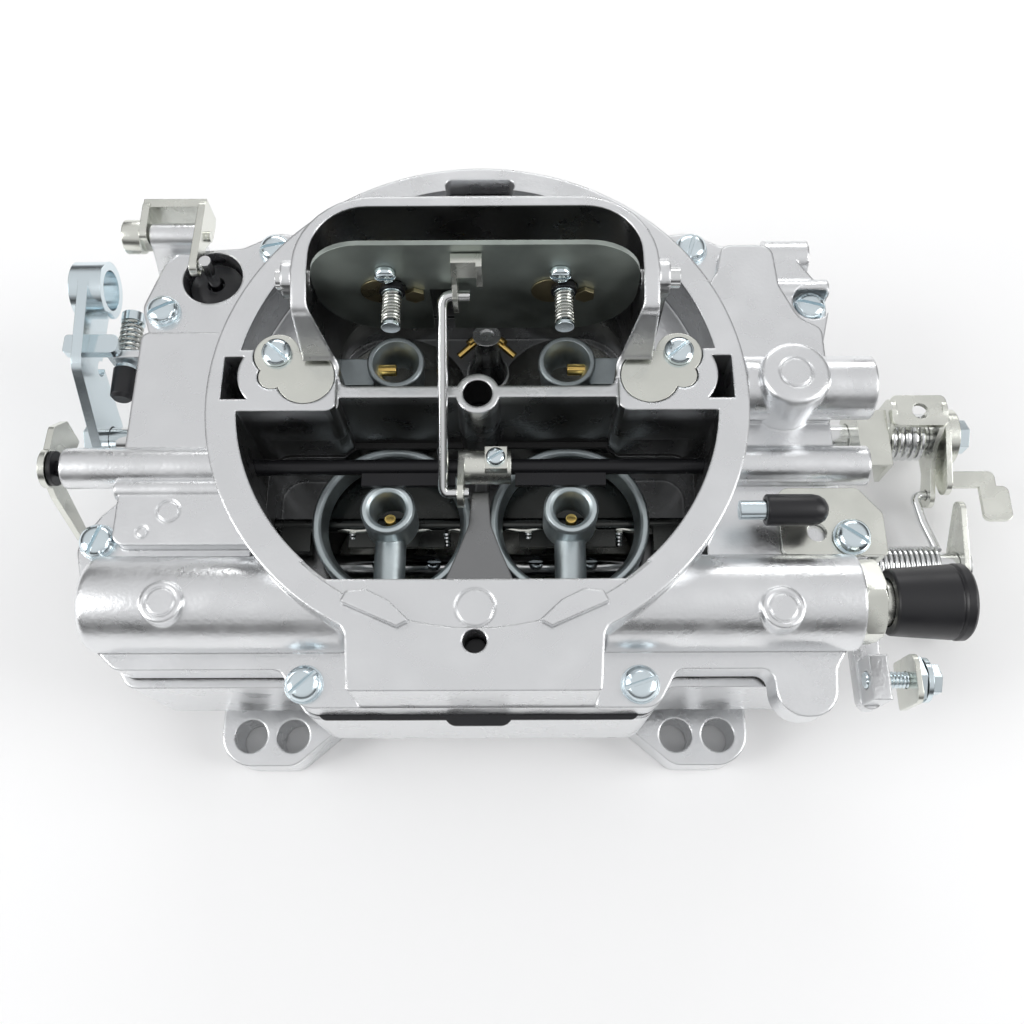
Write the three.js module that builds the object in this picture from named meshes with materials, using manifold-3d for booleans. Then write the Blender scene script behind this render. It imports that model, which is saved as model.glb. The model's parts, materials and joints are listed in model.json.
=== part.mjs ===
// Four-barrel carburetor: two castings with a gasket between them, the fuel and air parts they hold,
// and the throttle, choke, air-valve and pump linkages that move.
// Millimetres. Origin: centre of the base flange's underside. +X is the fuel-inlet side,
// +Y the primary (choke) side, +Z up.
import * as THREE from 'three';
import { mergeVertices } from 'three/addons/utils/BufferGeometryUtils.js';
import Module from 'manifold-3d';

const wasm = await Module();
wasm.setup();

// ---------------------------------------------------------------- driving dimensions
const GAP = 0.3;
const FLANGE_TOP = 12.2;
const BODY_TOP = 55.2;
const GASKET_BOTTOM = BODY_TOP + GAP;
const GASKET_TOP = GASKET_BOTTOM + 1.1;
const HORN_BOTTOM = GASKET_TOP + GAP;
const SCREW_LEVEL = 66;
const PLATEAU_TOP = 70;
const SEAT_TOP = 85;
const TOWER_TOP = 105;

const SEAT_OUTER_R = 65.1;
const SEAT_INNER_R = 58.8;

const BORE_X = 23;
const PRIMARY_Y = 19.5;
const SECONDARY_Y = -22.5;
const PRIMARY_R = 18.3;
const SECONDARY_R = 21.4;
const THROTTLE_Z = 15;
const THROTTLE_SHAFT_R = 4;
const SHAFT_BOSS_R = 7;
const PLATE_THICKNESS = 1.6;

const BOLT_X_OUTER = 65.88;
const BOLT_X_INNER = 53.98;
const BOLT_Y = 71.44;
const BOLT_HOLE_R = 4.6;

const FUEL_Y = -48.5;
const FUEL_Z = 68.5;
const FUEL_BOSS_R = 11.5;

const AIR_VALVE = { y: -12.5, z: 67 };
const AIR_VALVE_SHAFT_R = 2;
const AUX_VALVE = { y: -19.5, z: 43.5 };
const AUX_SHAFT_R = 1.8;

const CHOKE = { y: 21, z: 100 };
const CHOKE_SHAFT_R = 2.4;
const CHOKE_HALF_X = 37.9;
const CHOKE_ABOVE = 15.2;
const CHOKE_BELOW = 19.3;

const METER_X = 42;
const METER_Y = 4.5;
const METER_BORE_R = 5;

const PUMP_X = -73.5;
const PUMP_Y = 44.5;
const PUMP_WELL_R = 6.6;
const PUMP_PIVOT = { y: 56.5, z: 68 };

const FLOAT_X = 72.5;

const LINK_TOP = { y: 17.1, z: 99.1 };
const LINK_BOTTOM = { y: -21, z: 70.5 };
const LINK_R = 1.3;

// ---------------------------------------------------------------- solids
function toSolid(geometry) {
  geometry.deleteAttribute('normal');
  geometry.deleteAttribute('uv');
  const merged = mergeVertices(geometry, 1e-4);
  const corners = merged.index.array;
  const triangles = [];
  for (let i = 0; i < corners.length; i += 3) {
    const [a, b, c] = [corners[i], corners[i + 1], corners[i + 2]];
    if (a !== b && b !== c && c !== a) triangles.push(a, b, c);
  }
  return new wasm.Manifold(new wasm.Mesh({
    numProp: 3,
    vertProperties: new Float32Array(merged.attributes.position.array),
    triVerts: new Uint32Array(triangles),
  }));
}

function block(x0, x1, y0, y1, z0, z1) {
  const geometry = new THREE.BoxGeometry(x1 - x0, y1 - y0, z1 - z0);
  geometry.translate((x0 + x1) / 2, (y0 + y1) / 2, (z0 + z1) / 2);
  return toSolid(geometry);
}

// A cone or cylinder between two points; startR and endR are its radii at each end.
function taper(start, end, startR, endR, sides = 12) {
  const from = new THREE.Vector3(...start);
  const along = new THREE.Vector3(...end).sub(from);
  const geometry = new THREE.CylinderGeometry(endR, startR, along.length(), sides);
  const up = new THREE.Vector3(0, 1, 0);
  const turn = new THREE.Quaternion().setFromUnitVectors(up, along.clone().normalize());
  geometry.applyQuaternion(turn);
  geometry.translate(...from.addScaledVector(along, 0.5).toArray());
  return toSolid(geometry);
}

const rod = (start, end, r, sides = 12) => taper(start, end, r, r, sides);
const rodX = (x0, x1, y, z, r, sides) => rod([x0, y, z], [x1, y, z], r, sides);
const rodY = (x, y0, y1, z, r, sides) => rod([x, y0, z], [x, y1, z], r, sides);
const rodZ = (x, y, z0, z1, r, sides) => rod([x, y, z0], [x, y, z1], r, sides);

function join(first, ...others) {
  return others.reduce((sum, next) => sum.add(next), first);
}

function cut(first, ...others) {
  return others.reduce((rest, next) => rest.subtract(next), first);
}

// An outline from corners [u, v, radius]; a radius rounds its corner with an arc.
function outline(corners) {
  const points = [];
  corners.forEach(([u, v, radius = 0], i) => {
    const corner = new THREE.Vector2(u, v);
    const before = corners[(i + corners.length - 1) % corners.length];
    const after = corners[(i + 1) % corners.length];
    const back = new THREE.Vector2(before[0], before[1]).sub(corner).normalize();
    const ahead = new THREE.Vector2(after[0], after[1]).sub(corner).normalize();
    const halfAngle = Math.acos(THREE.MathUtils.clamp(back.dot(ahead), -1, 1)) / 2;
    if (radius === 0 || halfAngle > 1.5) {
      points.push(corner);
      return;
    }
    const reach = radius / Math.tan(halfAngle);
    const inward = back.clone().add(ahead).normalize();
    const centre = corner.clone().addScaledVector(inward, radius / Math.sin(halfAngle));
    const start = corner.clone().addScaledVector(back, reach).sub(centre);
    const sweep = Math.PI - 2 * halfAngle;
    const side = Math.sign(back.cross(ahead)) * -1;
    const steps = Math.max(2, Math.ceil(sweep / (Math.PI / 5)));
    for (let s = 0; s <= steps; s += 1) {
      const spin = start.clone().rotateAround(new THREE.Vector2(), (side * sweep * s) / steps);
      points.push(spin.add(centre));
    }
  });
  return new THREE.Shape(points);
}

// The outline around a straight bar with round ends of two radii.
function barOutline([u0, v0, r0], [u1, v1, r1], steps = 5) {
  const length = Math.hypot(u1 - u0, v1 - v0);
  const heading = Math.atan2(v1 - v0, u1 - u0);
  const spread = Math.acos((r0 - r1) / length);
  const points = [];
  for (let s = 0; s <= steps; s += 1) {
    const angle = heading + spread + ((2 * Math.PI - 2 * spread) * s) / steps;
    points.push(new THREE.Vector2(u0 + r0 * Math.cos(angle), v0 + r0 * Math.sin(angle)));
  }
  for (let s = 0; s <= steps; s += 1) {
    const angle = heading - spread + (2 * spread * s) / steps;
    points.push(new THREE.Vector2(u1 + r1 * Math.cos(angle), v1 + r1 * Math.sin(angle)));
  }
  return new THREE.Shape(points);
}

function plate(shape, low, high, basis) {
  const geometry = new THREE.ExtrudeGeometry(shape, { depth: high - low, bevelEnabled: false, curveSegments: 6 });
  geometry.translate(0, 0, low);
  geometry.applyMatrix4(basis);
  return toSolid(geometry);
}

const FLAT = new THREE.Matrix4();
const ACROSS_X = new THREE.Matrix4().makeBasis(
  new THREE.Vector3(0, 1, 0), new THREE.Vector3(0, 0, 1), new THREE.Vector3(1, 0, 0));
const ACROSS_Y = new THREE.Matrix4().makeBasis(
  new THREE.Vector3(1, 0, 0), new THREE.Vector3(0, 0, 1), new THREE.Vector3(0, -1, 0));

const plateZ = (shape, z0, z1) => plate(shape, z0, z1, FLAT);            // shape drawn in X, Y
const plateX = (shape, x0, x1) => plate(shape, x0, x1, ACROSS_X);        // shape drawn in Y, Z
const plateY = (shape, y0, y1) => plate(shape, -y1, -y0, ACROSS_Y);      // shape drawn in X, Z

const slabZ = (corners, z0, z1) => plateZ(outline(corners), z0, z1);
const slabX = (corners, x0, x1) => plateX(outline(corners), x0, x1);
const barX = (from, to, x0, x1) => plateX(barOutline(from, to), x0, x1);

// A round wire through the given points, bent smoothly at each.
function wire(points, radius, steps, sides = 6) {
  const section = new THREE.Shape();
  section.absarc(0, 0, radius, 0, 2 * Math.PI);
  const path = new THREE.CatmullRomCurve3(points.map((p) => new THREE.Vector3(...p)), false, 'centripetal');
  const geometry = new THREE.ExtrudeGeometry(section, { steps, extrudePath: path, curveSegments: sides / 2 });
  return toSolid(geometry);
}

// A coil spring along X: a helix of wire with straight tails left off.
function coilX(x0, x1, y, z, coilR, wireR, turns) {
  const points = [];
  const stepsPerTurn = 9;
  for (let s = 0; s <= turns * stepsPerTurn; s += 1) {
    const angle = (2 * Math.PI * s) / stepsPerTurn;
    const x = x0 + ((x1 - x0) * s) / (turns * stepsPerTurn);
    points.push([x, y + coilR * Math.cos(angle), z + coilR * Math.sin(angle)]);
  }
  return wire(points, wireR, turns * stepsPerTurn, 4);
}

// The X range [near, far] on the +X side (side 1) or its mirror on the -X side (side -1).
const span = (side, near, far) => (side > 0 ? [near, far] : [-far, -near]);

// ---------------------------------------------------------------- finishes
const FINISH = {
  castAluminium: { color: 0xc9cbcd, roughness: 0.38, metalness: 1 },
  zincCasting: { color: 0x7d868a, roughness: 0.42, metalness: 1 },
  zincPlate: { color: 0xc8c9bb, roughness: 0.34, metalness: 1 },
  darkZinc: { color: 0x5c6663, roughness: 0.36, metalness: 1 },
  brightZinc: { color: 0xc3d2da, roughness: 0.25, metalness: 1 },
  brass: { color: 0xc79a3c, roughness: 0.28, metalness: 1 },
  steelWire: { color: 0xd6d8d8, roughness: 0.2, metalness: 1 },
  blackSteel: { color: 0x16171a, roughness: 0.45, metalness: 0.6 },
  blackRubber: { color: 0x0d0d0f, roughness: 0.55, metalness: 0 },
  gasketPaper: { color: 0x1b1b1c, roughness: 0.85, metalness: 0 },
  floatFoam: { color: 0x2a2622, roughness: 0.8, metalness: 0 },
};

const carburetor = new THREE.Group();

// Adds a named mesh. The solid is drawn around its own zero and is then set at place.
function addPart(name, solid, finish, place = [0, 0, 0], parent = carburetor) {
  const { vertProperties, numProp, triVerts } = solid.getMesh();
  const positions = new Float32Array((vertProperties.length / numProp) * 3);
  for (let v = 0; v < positions.length / 3; v += 1) {
    for (let k = 0; k < 3; k += 1) positions[3 * v + k] = vertProperties[numProp * v + k];
  }
  const geometry = new THREE.BufferGeometry();
  geometry.setAttribute('position', new THREE.BufferAttribute(positions, 3));
  geometry.setIndex(new THREE.BufferAttribute(new Uint32Array(triVerts), 1));
  geometry.computeVertexNormals();
  const mesh = new THREE.Mesh(geometry, new THREE.MeshStandardMaterial(FINISH[finish]));
  mesh.name = name;
  mesh.position.set(...place);
  parent.add(mesh);
}

// ---------------------------------------------------------------- main body casting
const BOWL_OUTLINE = [
  [-41, -73.6, 5], [-46.5, -66, 3], [-86, -66, 4], [-92, -56, 3], [-98.5, -34, 6], [-94, -25, 4],
  [-88.5, -18, 2], [-88.5, 26, 3], [-90, 38, 5], [-84.5, 53.5, 8], [-66, 55.5, 4], [-56, 58.5, 6],
  [-40, 56, 8], [0, 63, 60], [40, 56, 8], [56, 58, 6], [68, 55, 4], [84, 55, 6], [94, 38, 6], [90, 10, 3],
  [90, -18, 2], [97, -24, 5], [97, -38, 4], [91, -56, 4], [86, -66, 4], [46.5, -66, 3], [41, -73.6, 5],
];
const FLANGE_OUTLINE = [
  [-74, -60, 4], [-74, -79.7, 9], [-53, -79.7, 6], [-37, -66, 8], [37, -66, 8], [53, -79.7, 6],
  [74, -79.7, 9], [74, -60, 4], [58, -50, 6], [58, 50, 6], [74, 60, 4], [74, 79.7, 9], [53, 79.7, 6],
  [37, 66, 8], [-37, 66, 8], [-53, 79.7, 6], [-74, 79.7, 9], [-74, 60, 4], [-58, 50, 6], [-58, -50, 6],
];
const PRIMARY_WELL = [[-41, 6.5, 12], [-41, 38, 13], [41, 38, 13], [41, 6.5, 12]];
const BORES = [
  [-BORE_X, PRIMARY_Y, PRIMARY_R], [BORE_X, PRIMARY_Y, PRIMARY_R],
  [-BORE_X, SECONDARY_Y, SECONDARY_R], [BORE_X, SECONDARY_Y, SECONDARY_R],
];
const CHAMBER_FLOOR = 38.5;
const CHAMBER_REAR = -44.2;
const BOWL_FLOOR = 27;
const MIXTURE = { x: 20, z: 21 };
const LEFT_BOSS_END = -99;
const RIGHT_BOSS_END = 104;
const SPEED_SCREW = { x: -108, z: 33 };
const LOCKOUT = { y: -6, z: 34 };

// Screws that hold the air horn down: x, y and the level of the face under each head.
const HORN_SCREWS = [
  [-40.5, -67.3, SCREW_LEVEL], [38, -67.5, SCREW_LEVEL], [-93.7, -32, SCREW_LEVEL], [-85.5, 33.5, SCREW_LEVEL],
  [-56.8, 53, SCREW_LEVEL], [57.5, 52.6, SCREW_LEVEL], [89.3, 36, SCREW_LEVEL - 3.5], [91, -32, SCREW_LEVEL + 2],
];
const SCREW_HOLE_R = 2.7;
const screwHoles = (z0, z1) => HORN_SCREWS.map(([x, y]) => rodZ(x, y, z0, z1, SCREW_HOLE_R, 8));

// One side's secondary well: side 1 is +X, side -1 is -X. The other side's corners run the other way.
function chamber(side, z0, z1) {
  const corners = [
    [56, CHAMBER_REAR, 8], [56, -4.5, 6], [36, -4.5, 2], [33, -1.2, 2], [1.6, -1.2], [1.6, CHAMBER_REAR],
  ];
  if (side > 0) return slabZ(corners, z0, z1);
  return slabZ(corners.map(([x, y, r]) => [-x, y, r]).reverse(), z0, z1);
}

function makeMainBody() {
  let body = join(
    slabZ(FLANGE_OUTLINE, 0, FLANGE_TOP),
    slabZ([[-52, -50, 8], [-52, 50, 8], [52, 50, 8], [52, -50, 8]], FLANGE_TOP - 1, 30),
    slabZ(BOWL_OUTLINE, 23, BODY_TOP),
    block(-86, -78, 30, 44, 22, 40),
    block(-112, -88, 36, 38.4, 26, 38),
    block(-98, -88, LOCKOUT.y - 4, LOCKOUT.y + 4, LOCKOUT.z - 4, LOCKOUT.z + 4),
    block(88, 104, -47, -41, 23.5, 28),
    plateZ(barOutline([105.5, -44, 4], [104.8, -64, 3]), 23.5, 28),
    block(102.5, 107.5, -66, -54, 27, 37),
  );
  for (const y of [PRIMARY_Y, SECONDARY_Y]) {
    body = join(
      body,
      rodX(LEFT_BOSS_END, -50, y, THROTTLE_Z, SHAFT_BOSS_R),
      rodX(50, RIGHT_BOSS_END, y, THROTTLE_Z, SHAFT_BOSS_R),
    );
  }
  for (const side of [-1, 1]) {
    const [web0, web1] = span(side, 50, 62);
    body = join(
      body,
      block(web0, web1, SECONDARY_Y - 3, PRIMARY_Y + 3, 10, 24),
      rodY(side * MIXTURE.x, 48, 58, MIXTURE.z, 5),
    );
  }
  body = cut(
    body,
    ...BORES.map(([x, y, r]) => rodZ(x, y, -1, BODY_TOP + 1, r, 36)),
    slabZ(PRIMARY_WELL, 44, BODY_TOP + 1),
    rodX(-58.5, 58.5, AUX_VALVE.y, AUX_VALVE.z, AUX_SHAFT_R + GAP),
    rodZ(PUMP_X, PUMP_Y, BOWL_FLOOR, BODY_TOP + 1, PUMP_WELL_R),
    rodX(LEFT_BOSS_END - 1, RIGHT_BOSS_END + 1, PRIMARY_Y, THROTTLE_Z, THROTTLE_SHAFT_R + GAP),
    rodX(LEFT_BOSS_END - 1, RIGHT_BOSS_END + 1, SECONDARY_Y, THROTTLE_Z, THROTTLE_SHAFT_R + GAP),
    block(-3.5, 3.5, -74, -71, 46, BODY_TOP + 1),
    rodY(SPEED_SCREW.x, 35, 39, SPEED_SCREW.z, 2.1, 8),
    rodX(101, 109, -60, 32.5, 2.5, 12),
    ...screwHoles(40, BODY_TOP + 1),
  );
  for (const side of [-1, 1]) {
    const [bowl0, bowl1] = span(side, 60.5, 85);
    const [stem0, stem1] = span(side, BORE_X - 9, BORE_X + 9);
    body = cut(
      body,
      chamber(side, CHAMBER_FLOOR, BODY_TOP + 1),
      slabZ([[bowl0, -59, 5], [bowl0, 21, 5], [bowl1, 21, 5], [bowl1, -59, 5]], BOWL_FLOOR, BODY_TOP + 1),
      rodZ(side * METER_X, METER_Y, 30, BODY_TOP + 1, METER_BORE_R),
      block(stem0, stem1, -59, CHAMBER_REAR + 2, 46, BODY_TOP + 1),
      rodY(side * MIXTURE.x, 46, 60, MIXTURE.z, 2.6, 12),
    );
    for (const x of [BOLT_X_INNER, BOLT_X_OUTER]) {
      for (const y of [-BOLT_Y, BOLT_Y]) {
        body = body.subtract(rodZ(side * x, y, -1, 24, BOLT_HOLE_R));
      }
    }
  }
  return body;
}

// ---------------------------------------------------------------- gasket
const REAR_OPENING = [
  [-56, CHAMBER_REAR, 8], [-56, -4.5, 6], [-36, -4.5, 2], [-33, -2.4, 1], [33, -2.4, 1], [36, -4.5, 2],
  [56, -4.5, 6], [56, CHAMBER_REAR, 8],
];

function throatOpenings(z0, z1) {
  return [
    slabZ(PRIMARY_WELL, z0, z1),
    slabZ(REAR_OPENING, z0, z1),
    block(-BORE_X - 9, BORE_X + 9, -59, CHAMBER_REAR + 2, z0, z1),
  ];
}

function bowlOpenings(z0, z1) {
  return [-1, 1].flatMap((side) => {
    const [bowl0, bowl1] = span(side, 61.5, 84);
    return [
      slabZ([[bowl0, -58, 5], [bowl0, 20, 5], [bowl1, 20, 5], [bowl1, -58, 5]], z0, z1),
      rodZ(side * METER_X, METER_Y, z0, z1, METER_BORE_R),
    ];
  });
}

const HORN_OUTLINE = [
  [-41, -72.8, 5], [-46.5, -63.8, 3], [-85.5, -63.8, 4], [-93, -57, 3], [-99, -33, 6], [-94, -25, 3],
  [-88.8, -20, 2], [-88.8, 27, 3], [-91.5, 35, 6], [-86, 52.5, 8], [-66, 54, 4], [-56.5, 59, 6],
  [-40, 56, 8], [0, 61, 60], [40, 56, 8], [57, 58.5, 6], [66, 54, 4], [83.5, 54, 6], [94.5, 37, 6],
  [90, 20, 3], [90, -19, 3], [96.5, -24, 5], [96.5, -36.5, 3], [88.5, -37.5, 1], [88.5, -57.5, 3],
  [84.5, -63.8, 3], [83.5, -75, 6.6],
  [70, -75, 6.6], [69.5, -63.8, 3], [47, -63.8, 3], [42, -72.8, 5],
];

function makeGasket() {
  return cut(
    slabZ(BOWL_OUTLINE, GASKET_BOTTOM, GASKET_TOP).intersect(slabZ(HORN_OUTLINE, GASKET_BOTTOM, GASKET_TOP)),
    ...throatOpenings(GASKET_BOTTOM - 1, GASKET_TOP + 1),
    ...bowlOpenings(GASKET_BOTTOM - 1, GASKET_TOP + 1),
    rodZ(PUMP_X, PUMP_Y, GASKET_BOTTOM - 1, GASKET_TOP + 1, PUMP_WELL_R),
    ...screwHoles(GASKET_BOTTOM - 1, GASKET_TOP + 1),
  );
}

// ---------------------------------------------------------------- air horn casting
const LEFT_PLATEAU = [[-89, -34, 3], [-89, 25, 2], [-56, 25, 2], [-50, -34, 2]];
const RIGHT_PLATEAU = [
  [50, 22, 2], [63.5, 43, 3], [65.3, 51.6, 3], [78.8, 51.6, 3.5], [79.6, 38.8, 6], [84, 28.6, 7],
  [89.6, 25.6, 3], [89.6, -1.5, 2], [50, -1.5, 2],
];
const RIGHT_SHELF = [[50, -1.6, 2], [89, -1.6, 1], [89, -17.6, 2], [50, -17.6, 2]];
const TOWER_OUTER = [[-42.2, 4, 4], [-42.2, 40.5, 18], [42.2, 40.5, 18], [42.2, 4, 4]];
const TOWER_INNER = [
  [-33.5, 2, 2], [-33.5, 7, 3], [-38.6, 12, 4], [-38.6, 37.8, 13], [38.6, 37.8, 13], [38.6, 12, 4],
  [33.5, 7, 3], [33.5, 2, 2],
];
const DECK_EDGE_Y = -47;
const SHELF_TOP = 83.8;
const WEB_TOP = 83;
const POCKET_FLOOR = 72;
const COVER_FLOOR = 83.2;
const SEAT_LUG = [[-28.4, -50.6, 1], [-24.2, -50.2, 1], [-19, -52.8, 1], [-14.4, -57.2], [-17, -58.6], [-29.6, -53]];
const THROAT_PILLAR = [
  [-2.2, -17], [-2.8, -26], [-5.4, -33], [-11, -46.5], [11, -46.5], [5.4, -33], [2.8, -26], [2.2, -17],
];
const VACUUM = { y: -27.8, z: 76 };

// The metering-rod cover: two lobes, one under its screw and one over the rod, with a narrow waist.
function coverSolid(side, z0, z1, grow) {
  return join(
    rodZ(side * 41.6, 3.6, z0, z1, 7 + grow, 20),
    rodZ(side * 48.9, 9.8, z0, z1, 5.6 + grow, 16),
    rodZ(side * 49.6, 3.9, z0, z1, 3.4 + grow, 12),
  );
}

function makeAirHorn() {
  const chokeBoss = (side) => {
    const [x0, x1] = span(side, 41, 44.8);
    return join(
      rodX(x0, x1, CHOKE.y, CHOKE.z, 4.4),
      block(x0, x1, CHOKE.y - 2.2, CHOKE.y + 2.2, POCKET_FLOOR - 1, CHOKE.z),
    );
  };
  let horn = join(
    slabZ(HORN_OUTLINE, HORN_BOTTOM, SCREW_LEVEL),
    rodZ(0, 0, HORN_BOTTOM, SEAT_TOP, SEAT_OUTER_R, 60),
    slabZ(LEFT_PLATEAU, SCREW_LEVEL - 1, PLATEAU_TOP),
    slabZ(RIGHT_PLATEAU, SCREW_LEVEL - 4, PLATEAU_TOP),
    slabZ(RIGHT_SHELF, SCREW_LEVEL - 1, PLATEAU_TOP - 1),
    slabZ([[-27.6, -72.4, 1], [-28.6, -59, 4], [-40, -48], [40, -48], [28.6, -59, 4], [27.6, -72.4, 1]],
      HORN_BOTTOM, SEAT_TOP),
    rodX(-92, -30, FUEL_Y, FUEL_Z, FUEL_BOSS_R, 24),
    rodX(30, 88.8, FUEL_Y, FUEL_Z, FUEL_BOSS_R, 24),
    rodZ(-71.3, -51.2, FUEL_Z, 81, 5),
    rodZ(69.3, -53, FUEL_Z, 81, 5),
    rodX(-104, -56, AIR_VALVE.y, AIR_VALVE.z, 5.2),
    rodX(-90, -56, AIR_VALVE.y - 6.5, AIR_VALVE.z + 1.4, 2.6, 12),
    rodX(56, 97, AIR_VALVE.y, AIR_VALVE.z, 5),
    rodX(66, 98, 6, 73.5, 8, 20),
    rodZ(77.3, 5, 66, SEAT_TOP - 1, 8.6, 24),
    rodX(78, 94, 40.5, 64, 3.3, 12),
    rodX(78, 90, 52.5, 62, 5),
    rodX(-90.5, -77.8, PUMP_PIVOT.y, PUMP_PIVOT.z, 3.6),
    slabX([[47, HORN_BOTTOM], [58, HORN_BOTTOM, 1], [PUMP_PIVOT.y + 3.4, PUMP_PIVOT.z], [53, PUMP_PIVOT.z]],
      -90.5, -77.8),
  );
  // Everything inside the seat ring in front of the web is lowered to the pocket floor.
  const insideSeat = rodZ(0, 0, POCKET_FLOOR, SEAT_TOP + 5, SEAT_INNER_R, 60);
  horn = horn.subtract(insideSeat.intersect(block(-70, 70, 11, 70, 0, 120)));
  horn = join(horn, slabZ(TOWER_OUTER, HORN_BOTTOM, TOWER_TOP), chokeBoss(-1), chokeBoss(1));
  // The tower's side walls fall away towards the metering covers.
  horn = horn.subtract(slabX(
    [[-20, SEAT_TOP], [7.5, SEAT_TOP, 3], [11.5, TOWER_TOP - 3, 4], [20, TOWER_TOP + 0.1], [20, 130], [-20, 130]],
    -60, 60));
  const rearThroat = rodZ(0, 0, HORN_BOTTOM - 1, SEAT_TOP + 5, SEAT_INNER_R - 1, 60).intersect(
    slabZ([[-60, DECK_EDGE_Y], [-60, -5.5, 3], [-33.5, -5.5, 3], [-33.5, -1], [33.5, -1], [33.5, -5.5, 3],
      [60, -5.5, 3], [60, DECK_EDGE_Y]], HORN_BOTTOM - 1, SEAT_TOP + 5));
  horn = cut(
    horn,
    slabZ(TOWER_INNER, HORN_BOTTOM - 1, TOWER_TOP + 5),
    rearThroat.subtract(block(-60, 60, -60, -40, 0, 66.5)),
    slabZ(REAR_OPENING, HORN_BOTTOM - 1, 68),
    block(-34, 34, -4, 3, WEB_TOP, SEAT_TOP + 1),
    block(-9, 9, 57.3, 61.6, 74, SEAT_TOP + 1),
    rodZ(0, -61.5, 70, SEAT_TOP + 1, 2.7, 12),
    rodX(-105, 92, AIR_VALVE.y, AIR_VALVE.z, AIR_VALVE_SHAFT_R + GAP),
    rodX(-50, 50, CHOKE.y, CHOKE.z, CHOKE_SHAFT_R + GAP),
    rodX(82.5, 92, FUEL_Y, FUEL_Z, 8.3, 24),
    rodX(-91, -77, PUMP_PIVOT.y, PUMP_PIVOT.z, 1.9, 12),
    rodZ(PUMP_X, PUMP_Y, HORN_BOTTOM - 1, 90, 8.2),
    rodX(84, 99, 6, 73.5, 4.5),
    rodX(62, 67, VACUUM.y, VACUUM.z, 2.6, 12),
    ...screwHoles(HORN_BOTTOM - 1, SCREW_LEVEL + 3),
    rodZ(89.3, 36, SCREW_LEVEL - 3.5, SCREW_LEVEL + 1, 5.2),
  );
  for (const side of [-1, 1]) {
    const [vent0, vent1] = span(side, 54.8, 61.6);
    const [stem0, stem1] = span(side, BORE_X - 9, BORE_X + 9);
    horn = cut(
      horn,
      block(vent0, vent1, -2.4, 9.2, HORN_BOTTOM - 1, SEAT_TOP + 1).subtract(
        rodZ(side * 48, 4.5, HORN_BOTTOM - 2, SEAT_TOP + 2, 10)),
      coverSolid(side, COVER_FLOOR, SEAT_TOP + 1, GAP),
      rodZ(side * METER_X, METER_Y, HORN_BOTTOM - 1, SEAT_TOP, METER_BORE_R),
      rodZ(side * 48.9, 10, 76, SEAT_TOP, 1.8, 8),
      block(stem0, stem1, -59, CHAMBER_REAR + 2, HORN_BOTTOM - 1, 63.5),
      rodZ(side * FLOAT_X, -46, HORN_BOTTOM - 1, 66, 2.9, 12),
    );
  }
  const shelf = rodZ(0, 0, SHELF_TOP, SEAT_TOP + 5, SEAT_INNER_R - 0.3, 60).intersect(
    block(-60, 60, -62, DECK_EDGE_Y + 4, 0, 100));
  const lug = slabZ(SEAT_LUG, SHELF_TOP - 1, SEAT_TOP + 2.2);
  const pillar = slabZ(THROAT_PILLAR, HORN_BOTTOM, 61.5);
  horn = join(horn.subtract(shelf), lug, lug.mirror([1, 0, 0]), pillar);
  const boss = rodZ(0, 0, HORN_BOTTOM, SEAT_TOP - 2, 5.3).subtract(rodZ(0, 0, 62, SEAT_TOP, 3.6));
  return horn.subtract(rodZ(0, 0, 62, SEAT_TOP + 2, 3.6)).add(boss);
}

addPart('main_body', makeMainBody(), 'castAluminium');
addPart('air_horn_gasket', makeGasket(), 'gasketPaper');
addPart('air_horn', makeAirHorn(), 'castAluminium');

// ---------------------------------------------------------------- boosters, venturis and jets
const SIDES = [[-1, 'left'], [1, 'right']];
for (const [side, name] of SIDES) {
  const [arm0, arm1] = span(side, 6.5, 40 - BORE_X);
  addPart(`primary_booster_${name}`, cut(
    join(rodZ(0, 0, 50, 62, 7.75, 20), block(arm0, arm1, -4, 4, 52, 56.5)),
    rodZ(0, 0, 49, 63, 4.5, 12),
  ), 'zincCasting', [side * BORE_X, PRIMARY_Y + 1, 0]);

  const venturi = cut(rodZ(0, 0, 46, 55, 20.9, 24), rodZ(0, 0, 45, 56, 18.3, 24));
  const booster = cut(
    join(rodZ(0, -0.5, 52, 65.6, 6.9, 12), rodY(0, -26, -5, 55.8, 4, 12), block(-8, 8, -35.9, -25, 46.5, 62)),
    rodZ(0, -0.5, 51, 67, 4.3, 12),
  );
  addPart(`secondary_booster_${name}`, join(venturi, booster), 'zincCasting', [side * BORE_X, SECONDARY_Y, 0]);
}

const jet = (x, spread) => taper([x, 2, 60.8], [x + spread, -0.6, 60], 0.8, 0.8, 6);
addPart('pump_nozzle', join(
  rodZ(0, 0, 44.4, 46.5, 6.2, 20),
  taper([0, 0.4, 46.2], [0, 3, 58], 6, 3.8, 20),
  taper([0, 3, 57.9], [0, 3.6, 62], 4.2, 3.6, 20),
  jet(-2.6, -4.4),
  jet(2.6, 4.4),
), 'zincCasting', [1.4, 25, 0]);

for (const [side, name] of SIDES) {
  addPart(`metering_cover_${name}`, cut(
    coverSolid(side, COVER_FLOOR + GAP, COVER_FLOOR + 1.6, 0),
    rodZ(side * 48.9, 10, 80, 90, 2, 8),
  ), 'zincPlate');
  addPart(`metering_cover_screw_${name}`, cut(
    join(rodZ(0, 0, 1.9, 3.9, 3.6, 12), rodZ(0, 0, -5, 2, 1.3, 8)),
    block(-5, 5, -0.4, 0.4, 3, 5),
  ), 'brightZinc', [side * 48.9, 10, COVER_FLOOR]);
}

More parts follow.
